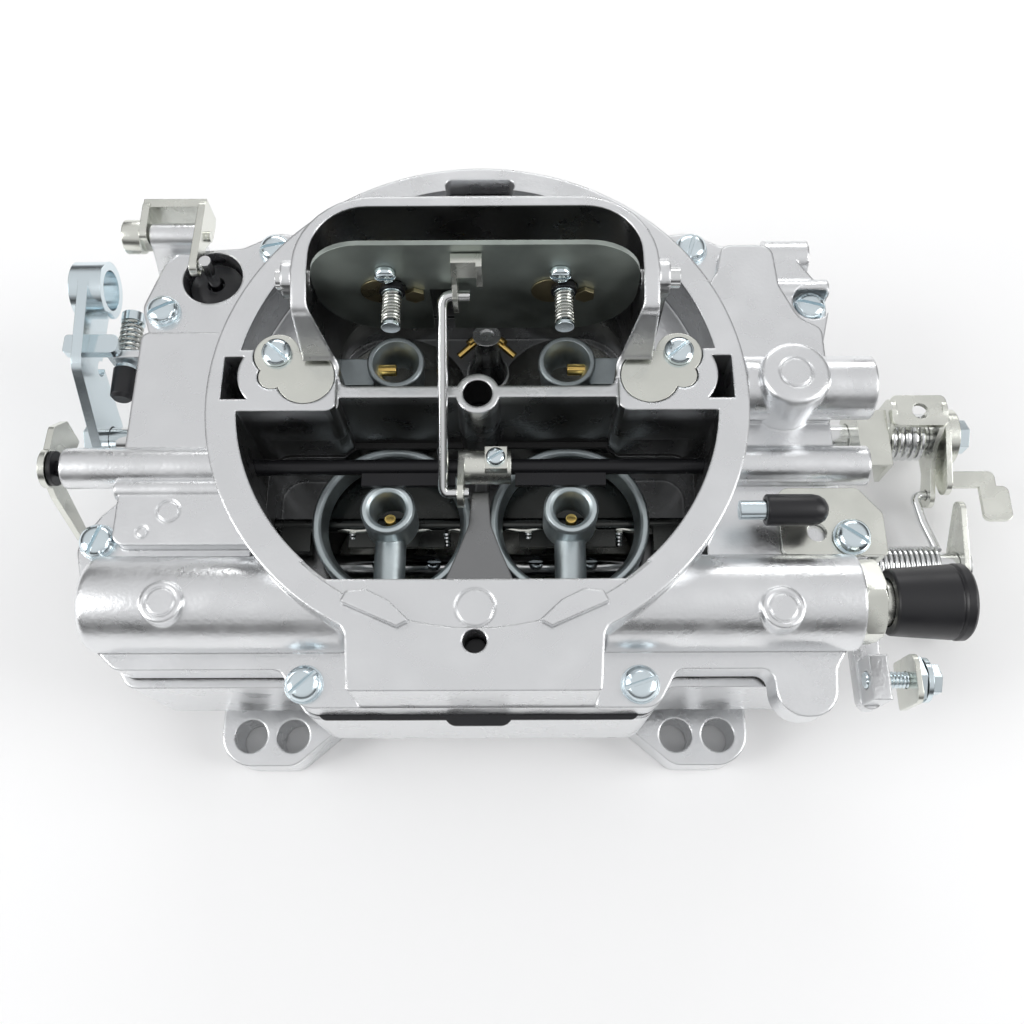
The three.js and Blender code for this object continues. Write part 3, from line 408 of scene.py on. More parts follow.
def throat_shade_mask(tree, place):
    """Painted shade: 1 on the walls inside the throat and the tower, where shade falls, 0 on the outside of
    the casting.
    """
    parts = tree.nodes.new("ShaderNodeSeparateXYZ")
    link(tree, place, "Object", parts, "Vector")
    x, y, z = parts.outputs
    facing = tree.nodes.new("ShaderNodeSeparateXYZ")
    link(tree, tree.nodes.new("ShaderNodeNewGeometry"), "True Normal", facing, "Vector")
    reach = math_node(tree, "SQRT", math_node(tree, "ADD", math_node(tree, "MULTIPLY", x, x),
                                              math_node(tree, "MULTIPLY", y, y)))
    outward = math_node(tree, "ADD", math_node(tree, "MULTIPLY", x, facing.outputs[0]),
                        math_node(tree, "MULTIPLY", y, facing.outputs[1]))
    inward = -0.3
    wall = math_node(tree, "LESS_THAN", math_node(tree, "DIVIDE", outward, reach), inward)
    # Painted shade also deepens below rear_top where y is under rear_end, and everywhere below deep_top.
    rear_top, fade, rear_end, deep_top, throat_r = 82.6, 4, 4.5, 64, 60.5
    drop = math_node(tree, "DIVIDE", math_node(tree, "SUBTRACT", rear_top * MM, z), fade * MM)
    drop = math_node(tree, "MINIMUM", math_node(tree, "MAXIMUM", drop, 0.0), 1.0)
    rear = math_node(tree, "MULTIPLY", drop, math_node(tree, "LESS_THAN", y, rear_end * MM))
    deep = math_node(tree, "MAXIMUM", rear, math_node(tree, "LESS_THAN", z, deep_top * MM))
    within = math_node(tree, "LESS_THAN", reach, throat_r * MM)
    return math_node(tree, "MULTIPLY", within, math_node(tree, "MAXIMUM", wall, deep))


def noise_node(tree, place, scale, detail):
    node = tree.nodes.new("ShaderNodeTexNoise")
    node.inputs["Scale"].default_value = scale
    node.inputs["Detail"].default_value = detail
    link(tree, place, "Object", node, "Vector")
    return node


def range_node(tree, noise, low, high, to_low=0.0, to_high=1.0):
    node = tree.nodes.new("ShaderNodeMapRange")
    for socket, value in (("From Min", low), ("From Max", high), ("To Min", to_low), ("To Max", to_high)):
        node.inputs[socket].default_value = value
    link(tree, noise, "Fac", node, "Value")
    return node.outputs["Result"]


def blend(tree, factor, first, second, shader):
    """Gives the shader a base colour between two, by a factor socket."""
    node = tree.nodes.new("ShaderNodeMix")
    node.data_type = "RGBA"
    node.inputs["A"].default_value = (*first, 1)
    node.inputs["B"].default_value = (*second, 1)
    tree.links.new(factor, node.inputs["Factor"])
    link(tree, node, "Result", shader, "Base Color")


def finish_material(name, colour, roughness, metallic=1.0, grain=0.0, edge=0.4, mottle=0.0, throat=0.0):
    """A surface with softened edges, a fine grain in its normal and uneven gloss; throat paints shade into
    its colour inside the throat and the tower.
    """
    grain_size, cloud_size, spread = 900, 110, 0.08
    material = bpy.data.materials.new(name)
    material.use_nodes = True
    tree = material.node_tree
    shader = tree.nodes["Principled BSDF"]
    shader.inputs["Metallic"].default_value = metallic
    shader.inputs["Roughness"].default_value = roughness
    shader.inputs["Base Color"].default_value = (*colour, 1)
    place = tree.nodes.new("ShaderNodeTexCoord")
    noise = noise_node(tree, place, grain_size, 4)
    cloud = noise_node(tree, place, cloud_size, 5)
    gloss = range_node(tree, cloud, 0.3, 0.7, max(0.02, roughness - spread), roughness + spread)
    tree.links.new(gloss, shader.inputs["Roughness"])
    if mottle:
        blend(tree, range_node(tree, cloud, 0.35, 0.65), [c * (1 - mottle) for c in colour],
              [min(1, c * (1 + mottle * 0.5)) for c in colour], shader)
    # Painted shade: the colour is darkened by the throat factor on the walls inside the throat and the
    # tower.
    if throat:
        blend(tree, throat_shade_mask(tree, place), colour, [c * (1 - throat) for c in colour], shader)
    bevel = tree.nodes.new("ShaderNodeBevel")
    bevel.samples = 6
    bevel.inputs["Radius"].default_value = edge * MM
    if grain:
        bump = tree.nodes.new("ShaderNodeBump")
        bump.inputs["Strength"].default_value = grain
        bump.inputs["Distance"].default_value = 0.2 * MM
        link(tree, noise, "Fac", bump, "Height")
        link(tree, bevel, "Normal", bump, "Normal")
        link(tree, bump, "Normal", shader, "Normal")
    else:
        link(tree, bevel, "Normal", shader, "Normal")
    return material


# Each look: its slot, the material's name, colour and roughness, and what else sets it apart.
LOOKS = {
    # cast: throat=0.68 darkens its colour by painted shade inside the throat and the tower.
    "cast": ("cast_aluminium", "cast aluminium", (0.8, 0.81, 0.82), 0.3,
             dict(grain=0.3, edge=0.9, throat=0.68)),
    # Painted shade: a darkened copy of the cast aluminium, for the auxiliary valve deep in the bores.
    "shade_painted_cast": ("cast_aluminium", "dull aluminium", (0.07, 0.073, 0.07), 0.28, dict(edge=0.3)),
    "machined": ("cast_aluminium", "machined aluminium", (0.86, 0.87, 0.87), 0.26,
                 dict(grain=0.12, edge=0.3)),
    "zinc_casting": ("zinc_casting", "zinc casting", (0.62, 0.69, 0.71), 0.42,
                     dict(grain=0.25, edge=0.5, mottle=0.1)),
    "zinc_plate": ("yellow_zinc_plate", "zinc plate", (0.78, 0.79, 0.73), 0.25,
                   dict(grain=0.08, edge=0.3, mottle=0.05)),
    "dark_zinc": ("dark_zinc_plate", "dark zinc", (0.38, 0.42, 0.39), 0.42,
                  dict(grain=0.05, edge=0.2, mottle=0.16)),
    "bright_zinc": ("bright_zinc", "bright zinc", (0.74, 0.83, 0.87), 0.18, dict(grain=0.05, edge=0.2)),
    "aged_brass": ("dark_zinc_plate", "aged brass", (0.42, 0.36, 0.22), 0.3, dict(edge=0.15)),
    "brass": ("brass", "brass", (0.8, 0.56, 0.18), 0.2, dict(edge=0.15)),
    "steel": ("bright_steel", "bright steel", (0.8, 0.81, 0.81), 0.16, dict(edge=0.15)),
    "spring": ("bright_steel", "spring steel", (0.55, 0.56, 0.53), 0.24, dict(edge=0.1)),
    "black_steel": ("black_steel", "black steel", (0.012, 0.012, 0.014), 0.3,
                    dict(metallic=0.4, edge=0.15)),
    "rubber": ("black_rubber", "black rubber", (0.008, 0.008, 0.01), 0.38,
               dict(metallic=0, grain=0.1, edge=0.5)),
    "gasket": ("gasket_paper", "gasket paper", (0.02, 0.02, 0.02), 0.8, dict(metallic=0, edge=0.1)),
    "foam": ("float_foam", "float foam", (0.03, 0.026, 0.022), 0.7,
             dict(metallic=0, grain=0.3, edge=0.8)),
}
FINISH = {look: finish_material(*row[1:4], **row[4]) for look, row in LOOKS.items()}


def add_piece(name, obj, finish, body, x=0, y=0, z=0):
    """Names the piece, sets it in metres in the frame, and lets it ride on a CAD body."""
    shift(obj, x, y, z)
    obj.data.transform(Matrix.Scale(MM, 4))
    obj.name = name
    obj.data.name = name
    obj.data.materials.clear()
    obj.data.materials.append(FINISH[finish])
    obj.data.shade_smooth()
    obj.data.set_sharp_from_angle(angle=SMOOTH_ANGLE)
    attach(obj, body)
    return obj


def stand_in(node, obj, finish, x=0, y=0, z=0):
    """A finer shape for one CAD node, on the same body."""
    piece = add_piece(node + "_fine", obj, finish, BODY_OF[node], x, y, z)
    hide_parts(node)
    return piece


# ------------------------------------------------------------------ main body casting
BOWL_OUTLINE = [
    (-41, -73.6, 5), (-46.5, -66, 3), (-86, -66, 4), (-92, -56, 3), (-98.5, -34, 6), (-94, -25, 4),
    (-88.5, -18, 2), (-88.5, 26, 3), (-90, 38, 5), (-84.5, 53.5, 8), (-66, 55.5, 4), (-56, 58.5, 6),
    (-40, 56, 8), (0, 63, 60), (40, 56, 8), (56, 58, 6), (68, 55, 4), (84, 55, 6), (94, 38, 6), (90, 10, 3),
    (90, -18, 2), (97, -24, 5), (97, -38, 4), (91, -56, 4), (86, -66, 4), (46.5, -66, 3), (41, -73.6, 5),
]
FLANGE_FRONT = [
    (-74, -60, 4), (-74, -79.7, 9), (-53, -79.7, 6), (-37, -66, 8), (37, -66, 8), (53, -79.7, 6),
    (74, -79.7, 9), (74, -60, 4), (58, -50, 6), (58, 50, 6),
]
FLANGE_OUTLINE = FLANGE_FRONT + [(-x, -y, r) for x, y, r in FLANGE_FRONT]
PRIMARY_WELL = mirrored([(-41, 6.5, 12), (-41, 38, 13)])
BORES = [(side * BORE_X, y, r) for y, r in ((PRIMARY_Y, PRIMARY_R), (SECONDARY_Y, SECONDARY_R))
         for side in (-1, 1)]
HORN_SCREWS = [
    (-40.5, -67.3, 66), (38, -67.5, 66), (-93.7, -32, 66), (-85.5, 33.5, 66),
    (-56.8, 53, 66), (57.5, 52.6, 66), (89.3, 36, 62.5), (91, -32, 68),
]
REAR_OPENING = mirrored([(-56, CHAMBER_REAR, 8), (-56, -4.5, 6), (-36, -4.5, 2), (-33, -2.4, 1)])
HORN_OUTLINE = [
    (-41, -72.8, 5), (-46.5, -63.8, 3), (-85.5, -63.8, 4), (-93, -57, 3), (-99, -33, 6), (-94, -25, 3),
    (-88.8, -20, 2), (-88.8, 27, 3), (-91.5, 35, 6), (-86, 52.5, 8), (-66, 54, 4), (-56.5, 59, 6),
    (-40, 56, 8), (0, 61, 60), (40, 56, 8), (57, 58.5, 6), (66, 54, 4), (83.5, 54, 6), (94.5, 37, 6),
    (90, 20, 3), (90, -19, 3), (96.5, -24, 5), (96.5, -36.5, 3), (88.5, -37.5, 1), (88.5, -57.5, 3),
    (84.5, -63.8, 3), (83.5, -75, 6.6), (70, -75, 6.6), (69.5, -63.8, 3), (47, -63.8, 3), (42, -72.8, 5),
]
BOWL_FLOOR = 27


def screw_holes(z0, z1):
    return [rod_z(x, y, z0, z1, 2.7, HOLE_SIDES) for x, y, _ in HORN_SCREWS]


def stem_slot(side, z0, z1):
    """The pocket in front of a secondary bore that takes the booster's foot."""
    x0, x1 = span(side, BORE_X - STEM_HALF, BORE_X + STEM_HALF)
    return block(x0, x1, WELL_FRONT, CHAMBER_REAR + 2, z0, z1)


def chamber(side, z0, z1):
    """The wide well over one secondary bore."""
    corners = [(56, CHAMBER_REAR, 8), (56, -4.5, 6), (36, -4.5, 2), (33, -1.2, 2), (1.6, -1.2),
               (1.6, CHAMBER_REAR)]
    return slab_z([(side * c[0], *c[1:]) for c in corners[::side]], z0, z1)


def make_main_body():
    body = join(
        slab_z(FLANGE_OUTLINE, 0, FLANGE_TOP),
        pad(-52, 52, -50, 50, 8, FLANGE_TOP - 1, 30),
        slab_z(BOWL_OUTLINE, 23, BODY_TOP),
        block(-86, -78, 30, 44, 22, 40),
        block(-112, -88, 36, 38.4, 26, 38),
        block(-98, -88, -10, -2, 30, 38),
        block(88, 104, -47, -41, 23.5, 28),
        plate_z(bar_outline((105.5, -44, 4), (104.8, -64, 3)), 23.5, 28),
        block(102.5, 107.5, -66, -54, 27, 37),
    )
    for y in (PRIMARY_Y, SECONDARY_Y):
        join(body, rod_x(-99, -50, y, THROTTLE_Z, 7), rod_x(50, 104, y, THROTTLE_Z, 7))
    for side in (-1, 1):
        web0, web1 = span(side, 50, 62)
        join(body, block(web0, web1, SECONDARY_Y - 3, PRIMARY_Y + 3, 10, 24),
             rod_y(side * MIXTURE.x, 48, 58, MIXTURE.z, 5))
    cut(body, *[rod_z(x, y, -1, BODY_TOP + 1, r) for x, y, r in BORES])
    cut(body, slab_z(PRIMARY_WELL, 44, BODY_TOP + 1),
        rod_x(-58.5, 58.5, AUX_VALVE.y, AUX_VALVE.z, AUX_VALVE.r + GAP),
        rod_z(PUMP.x, PUMP.y, BOWL_FLOOR, BODY_TOP + 1, PUMP.well_r),
        *[rod_x(-100, 105, y, THROTTLE_Z, SHAFT_R + GAP) for y in (PRIMARY_Y, SECONDARY_Y)],
        block(-5.5, 5.5, -74, -70.6, 46, BODY_TOP + 1),
        rod_y(SPEED_SCREW.x, 35, 39, SPEED_SCREW.z, 2.1),
        rod_x(101, 109, -60, 32.5, 2.5),
        *screw_holes(40, BODY_TOP + 1))
    for side in (-1, 1):
        cut(body, chamber(side, CHAMBER_FLOOR, BODY_TOP + 1),
            pad(*span(side, 60.5, 85), WELL_FRONT, 21, 5, BOWL_FLOOR, BODY_TOP + 1),
            rod_z(side * METER.x, METER.y, 30, BODY_TOP + 1, METER.r),
            stem_slot(side, 46, BODY_TOP + 1),
            rod_y(side * MIXTURE.x, 46, 60, MIXTURE.z, 2.6))
        cut(body, *[rod_z(side * x, y, -1, 24, 4.6) for x in BOLT_X for y in (-BOLT_Y, BOLT_Y)])
    return body


def make_gasket():
    z0, z1 = GASKET[0] - 1, GASKET[1] + 1
    sheet = overlap(slab_z(BOWL_OUTLINE, *GASKET), slab_z(HORN_OUTLINE, *GASKET))
    cut(sheet, slab_z(PRIMARY_WELL, z0, z1), slab_z(REAR_OPENING, z0, z1),
        block(-BORE_X - STEM_HALF, BORE_X + STEM_HALF, WELL_FRONT, CHAMBER_REAR + 2, z0, z1),
        *screw_holes(z0, z1),
        rod_z(PUMP.x, PUMP.y, z0, z1, PUMP.well_r), block(-5.5, 5.5, -75, -70.6, z0, z1))
    for side in (-1, 1):
        cut(sheet, pad(*span(side, 61.5, 84), WELL_FRONT + 1, 20, 5, z0, z1),
            rod_z(side * METER.x, METER.y, z0, z1, METER.r))
    return sheet


# ------------------------------------------------------------------ air horn casting
LEFT_PLATEAU = [(-89, -34, 3), (-89, 25, 2), (-56, 25, 2), (-50, -34, 2)]
RIGHT_PLATEAU = [
    (50, 22, 2), (63.5, 43, 3), (65.3, 51.6, 3), (78.8, 51.6, 3.5), (79.6, 38.8, 6), (84, 28.6, 7),
    (89.6, 25.6, 3), (89.6, -1.5, 2), (50, -1.5, 2),
]
RIGHT_SHELF = [(50, -1.6, 2), (89, -1.6, 1), (89, -17.6, 2), (50, -17.6, 2)]
TOWER_OUTER = mirrored([(-42.2, 4, 4), (-42.2, 40.5, 18)])
TOWER_INNER = mirrored([(-33.5, 2, 2), (-33.5, 7, 3), (-38.6, 12, 4), (-38.6, 37.8, 13)])
DECK_EDGE_Y = -47
SHELF_TOP = 83.8
WEB_TOP = 83
POCKET_FLOOR = 72
COVER_FLOOR = 83.2
SEAT_LUG = [
    (-28.4, -50.6, 1), (-24.2, -50.2, 1), (-19, -52.8, 1), (-14.4, -57.2), (-17, -58.6), (-29.6, -53),
]
THROAT_PILLAR = mirrored([(-2.2, -17), (-2.8, -26), (-5.4, -33), (-11, -46.5)])
# Round marks left on flat faces: x, y, level, radius.
CAST_MARKS = [
    (0, -53.6, 83.8, 4.6), (-76.2, -25.2, 70, 3), (-82, -30.6, 70, 1.6), (-71.3, -51.2, 81, 3.6),
    (69.3, -53, 81, 3.6), (77.3, 5, 84, 4.2),
]


def cover_solid(side, z0, z1, grow):
    """A metering cover's three-lobed shape; grow widens it to cut the recess."""
    return join(rod_z(side * 41.6, 3.6, z0, z1, 7 + grow), rod_z(side * 48.9, 9.8, z0, z1, 5.6 + grow),
                rod_z(side * 49.6, 3.9, z0, z1, 3.4 + grow))


def choke_boss(side):
    x0, x1 = span(side, 41, 44.8)
    return join(rod_x(x0, x1, CHOKE.y, CHOKE.z, 4.4),
                block(x0, x1, CHOKE.y - 2.2, CHOKE.y + 2.2, POCKET_FLOOR - 1, CHOKE.z))


def horn_bosses():
    """Everything that stands on the air horn's deck outside the seat ring."""
    return [
        soft_rod((-92, FUEL.y, FUEL.z), (-30, FUEL.y, FUEL.z), FUEL.r, 2.5),
        rod_x(30, 88.8, FUEL.y, FUEL.z, FUEL.r),
        soft_rod((-71.3, -51.2, FUEL.z), (-71.3, -51.2, 81), 5, 0.8),
        soft_rod((69.3, -53, FUEL.z), (69.3, -53, 81), 5, 0.8),
        rod_x(-104, -56, AIR_VALVE.y, AIR_VALVE.z, 5.2),
        rod_x(-90, -56, AIR_VALVE.y - 6.5, AIR_VALVE.z + 1.4, 2.6),
        rod_x(56, 97, AIR_VALVE.y, AIR_VALVE.z, 5),
        rod_x(66, 98, 6, 73.5, 8),
        soft_rod((77.3, 5, 66), (77.3, 5, SEAT_TOP - 1), 8.6, 1.5),
        rod_x(78, 94, 40.5, 64, 3.3),
        rod_x(78, 90, 52.5, 62, 5),
        rod_x(-90.5, -77.8, PUMP_PIVOT.y, PUMP_PIVOT.z, 3.6),
        slab_x([(47, HORN_BOTTOM), (58, HORN_BOTTOM, 1), (PUMP_PIVOT.y + 3.4, PUMP_PIVOT.z),
                (53, PUMP_PIVOT.z)], -90.5, -77.8),
    ]


def make_air_horn():
    horn = join(
        slab_z(HORN_OUTLINE, HORN_BOTTOM, SCREW_LEVEL),
        rod_z(0, 0, HORN_BOTTOM, SEAT_TOP, SEAT_OUTER_R, RING_SIDES),
        slab_z(LEFT_PLATEAU, SCREW_LEVEL - 1, PLATEAU_TOP),
        slab_z(RIGHT_PLATEAU, SCREW_LEVEL - 4, PLATEAU_TOP),
        slab_z(RIGHT_SHELF, SCREW_LEVEL - 1, PLATEAU_TOP - 1),
        slab_z(mirrored([(-27.6, -72.4, 1), (-28.6, -59, 4), (-40, -48)]), HORN_BOTTOM, SEAT_TOP),
        *horn_bosses(),
    )
    pocket = overlap(rod_z(0, 0, POCKET_FLOOR, SEAT_TOP + 5, SEAT_INNER_R, RING_SIDES),
                     block(-70, 70, 11, 70, 0, 120))
    cut(horn, pocket)
    join(horn, slab_z(TOWER_OUTER, HORN_BOTTOM, TOWER_TOP), choke_boss(-1), choke_boss(1))
    cut(horn, slab_x([(-20, SEAT_TOP), (7.5, SEAT_TOP, 3), (11.5, TOWER_TOP - 3, 4), (20, TOWER_TOP + 0.1),
                      (20, 130), (-20, 130)], -60, 60))
    throat = overlap(
        rod_z(0, 0, HORN_BOTTOM - 1, SEAT_TOP + 5, SEAT_INNER_R - 1, RING_SIDES),
        slab_z(mirrored([(-60, DECK_EDGE_Y), (-60, -5.5, 3), (-33.5, -5.5, 3), (-33.5, -1)]),
               HORN_BOTTOM - 1, SEAT_TOP + 5))
    cut(throat, block(-60, 60, -60, -40, 0, 66.5))
    cut(horn, slab_z(TOWER_INNER, HORN_BOTTOM - 1, TOWER_TOP + 5), throat,
        slab_z(REAR_OPENING, HORN_BOTTOM - 1, 68),
        block(-34, 34, -4, 3, WEB_TOP, SEAT_TOP + 1),
        pad(-9, 9, 57.3, 61.6, 2, 74, SEAT_TOP + 1),
        rod_z(0, -61.5, 70, SEAT_TOP + 1, 2.7),
        rod_x(-105, 92, AIR_VALVE.y, AIR_VALVE.z, AIR_VALVE.r + GAP),
        rod_x(-50, 50, CHOKE.y, CHOKE.z, CHOKE.r + GAP),
        rod_x(82.5, 92, FUEL.y, FUEL.z, 8.3),
        rod_x(-91, -77, PUMP_PIVOT.y, PUMP_PIVOT.z, 1.9),
        rod_z(PUMP.x, PUMP.y, HORN_BOTTOM - 1, 90, 8.2),
        rod_x(84, 99, 6, 73.5, 4.5),
        rod_x(62, 67, VACUUM.y, VACUUM.z, 2.6),
        rod_z(89.3, 36, 62.5, 67, 5.2),
        *screw_holes(HORN_BOTTOM - 1, 69))
    for side in (-1, 1):
        vent = cut(block(*span(side, 54.8, 61.6), -2.4, 9.2, HORN_BOTTOM - 1, SEAT_TOP + 1),
                   rod_z(side * 48, 4.5, HORN_BOTTOM - 2, SEAT_TOP + 2, 10))
        cut(horn, vent, cover_solid(side, COVER_FLOOR, SEAT_TOP + 1, GAP),
            rod_z(side * METER.x, METER.y, HORN_BOTTOM - 1, SEAT_TOP, METER.r),
            rod_z(side * METER_SCREW.x, METER_SCREW.y, 76, SEAT_TOP, 1.8),
            stem_slot(side, HORN_BOTTOM - 1, 63.5),
            rod_z(side * FLOAT_X, -46, HORN_BOTTOM - 1, 66, 2.9))
    cut(horn, overlap(rod_z(0, 0, SHELF_TOP, SEAT_TOP + 5, SEAT_INNER_R - 0.3, RING_SIDES),
                      block(-60, 60, -62, DECK_EDGE_Y + 4, 0, 100)))
    for side in (-1, 1):
        corners = [(-side * c[0], *c[1:]) for c in SEAT_LUG[::-side]]
        join(horn, slab_z(corners, SHELF_TOP - 1, SEAT_TOP + 2.2))
    join(horn, slab_z(THROAT_PILLAR, HORN_BOTTOM, 61.5))
    for x, y, level, r in CAST_MARKS:
        cut(horn, cut(rod_z(x, y, level - 0.25, level + 1, r),
                      rod_z(x, y, level - 1, level + 2, r - 0.5)))
    cut(horn, rod_z(0, 0, HUB.floor, SEAT_TOP + 2, HUB.r))
    return join(horn, cut(rod_z(0, 0, HORN_BOTTOM, SEAT_TOP - 2, 5.3),
                          rod_z(0, 0, HUB.floor, SEAT_TOP, HUB.r)))


# ------------------------------------------------------------------ boosters, venturis and jets
def make_primary_booster(side):
    body = revolve((0, 0, 50), (0, 0, 62),
                   [(0, 6.7), (3, 7.1), (7, 7.2), (10, 7.75), (11.6, 7.7), (12, 7.3)])
    join(body, block(*span(side, 6.5, 17), -4, 4, 52, 56.5))
    return cut(body, revolve((0, 0, 49), (0, 0, 63),
                             [(0, 5), (5, 4), (9, 4.6), (12, 5.7), (12.8, 6.2), (14, 6.5)]))


def make_secondary_booster():
    ring = revolve((0, 0, 46), (0, 0, 55), [(0, 20.9), (8.4, 20.9), (9, 20.4)])
    cut(ring, revolve((0, 0, 45), (0, 0, 56), [(0, 20), (5, 17.4), (9.4, 18.6), (11, 20.6)]))
    body = join(
        revolve((0, -0.5, 52), (0, -0.5, 65.6), [(0, 6.2), (2, 6.9), (12.8, 6.9), (13.6, 6.3)]),
        rod_y(0, -30, -5, 55.8, 4),
        block(-8, 8, -35.9, -25, 46.5, 62),
    )
    return join(ring, cut(body, revolve(
        (0, -0.5, 51), (0, -0.5, 67), [(0, 4.6), (6, 3.9), (12, 4), (14, 4.6), (14.6, 5.4), (16, 5.6)])))


def make_pump_nozzle():
    post = revolve((0, 0, 44.4), (0, 0, 47.5), [(0, 6.2), (3.1, 6)])
    join(post, revolve((0, 0.4, 46.4), (0, 3.6, 62),
                       [(0, 5.9), (3, 4.9), (7, 3.9), (11, 3.7), (12.6, 4.2), (15.9, 3.9)]))
    return cut(post, rod((0, 3.5, 61.3), (0, 3.7, 63), 2.1))


def build_throat_pieces():
    nozzle = (1.4, 25)
    for side, name in SIDES:
        primary, secondary = (side * BORE_X, PRIMARY_Y + 1), (side * BORE_X, SECONDARY_Y)
        stand_in(f"primary_booster_{name}", make_primary_booster(side), "zinc_casting", *primary)
        stand_in(f"secondary_booster_{name}", make_secondary_booster(), "zinc_casting", *secondary)
        tube_end = soft_rod((side * 6, -0.2, 57.6), (side * 0.2, -0.2, 57.6), 1.6, 0.3)
        add_piece(f"primary_jet_tube_{name}", tube_end, "brass", "housing", *primary)
        tube_end = soft_rod((0.2, -3.2, 54), (0.2, -1.6, 61), 1.45, 0.3)
        add_piece(f"secondary_jet_tube_{name}", tube_end, "brass", "housing", *secondary)
    stand_in("pump_nozzle", make_pump_nozzle(), "machined", *nozzle)
    for side, name in SIDES:
        jets = join(rod((side * 3.2, 2.2, 60.4), (side * 7.6, -1.6, 59.6), 0.95),
                    rod((side * 3, 3.4, 60.9), (side * 5, 1.4, 61.4), 0.9))
        add_piece(f"pump_jet_{name}", jets, "brass", "housing", *nozzle)


# ------------------------------------------------------------------ screws and covers
def slotted_head(r, height, width=0.9, depth=1.3, angle=0.0):
    """A domed head on z = 0 with one slot, turned by angle."""
    dome = [(0, 1), (0.45, 1), (0.7, 0.93), (0.9, 0.75), (1, 0.5)]
    head = revolve((0, 0, 0), (0, 0, height), [(height * level, r * share) for level, share in dome])
    slot = block(-r - 1, r + 1, -width / 2, width / 2, height - depth, height + 1)
    slot.data.transform(Matrix.Rotation(angle, 4, "Z"))
    return cut(head, slot)


def build_screws():
    chance = random.Random(4)
    for i, (x, y, level) in enumerate(HORN_SCREWS, 1):
        screw = join(slotted_head(4.2, 3, angle=chance.uniform(0, math.pi)),
                     rod_z(0, 0, 44 - level, 0.1, 2.1))
        washer = revolve((0, 0, 0), (0, 0, 0.5), [(0, 4.6), (0.5, 4.6)])
        stand_in(f"air_horn_screw_{i}", join(shift(screw, z=0.3), washer), "bright_zinc", x, y, level)
    for side, name in SIDES:
        cover = cover_solid(side, COVER_FLOOR + GAP, COVER_FLOOR + 1.6, 0)
        x, y = side * METER_SCREW.x, METER_SCREW.y
        cut(cover, rod_z(x, y, 80, 90, 1.9))
        stand_in(f"metering_cover_{name}", cover, "zinc_plate")
        screw = join(slotted_head(3.6, 2.1, angle=chance.uniform(0, math.pi)), rod_z(0, 0, -6, 0.1, 1.3))
        stand_in(f"metering_cover_screw_{name}", screw, "bright_zinc", x, y, COVER_FLOOR + 1.75)


# ------------------------------------------------------------------ fuel inlet and vacuum tube
def build_inlets():
    nut = overlap(rod((89.1, 0, 0), (94.3, 0, 0), 10.4, HEX),
                  revolve((89.1, 0, 0), (94.3, 0, 0), [(0, 9.6), (0.8, 10.4), (4.4, 10.4), (5.2, 9.4)]))
    fitting = join(nut, rod_x(83, 89.5, 0, 0, 7.8), rod_x(94.2, 99.4, 0, 0, 5.5))
    cut(fitting, rod_x(84.5, 100, 0, 0, 3.6))
    stand_in("fuel_inlet_fitting", fitting, "zinc_plate", y=FUEL.y, z=FUEL.z)
    cap = revolve((0, 0, 0), (18.4, 0, 0), [(0, 7.6), (0.5, 8), (14.6, 9), (15.1, 8.7), (15.7, 9.2),
                                            (17.4, 9.2), (18.1, 8.6), (18.4, 7.6)])
    cut(cap, rod_x(-1, 3.4, 0, 0, 5.9))
    stand_in("fuel_inlet_cap", cap, "rubber", 97.2, FUEL.y, FUEL.z)
    stand_in("vacuum_tube", cut(rod_x(62.4, 76, 0, 0, 2.3), rod_x(70, 77, 0, 0, 1.4)), "bright_zinc",
             y=VACUUM.y, z=VACUUM.z)
    dome = revolve((0, 0, 0), (15, 0, 0),
                   [(0, 3.5), (0.3, 3.8), (11, 3.8), (12.6, 3.5), (13.9, 2.7), (14.7, 1.5), (15, 0.5)])
    stand_in("vacuum_cap", cut(dome, rod_x(-1, 8.5, 0, 0, 2.6)), "rubber", 68.5, VACUUM.y, VACUUM.z)


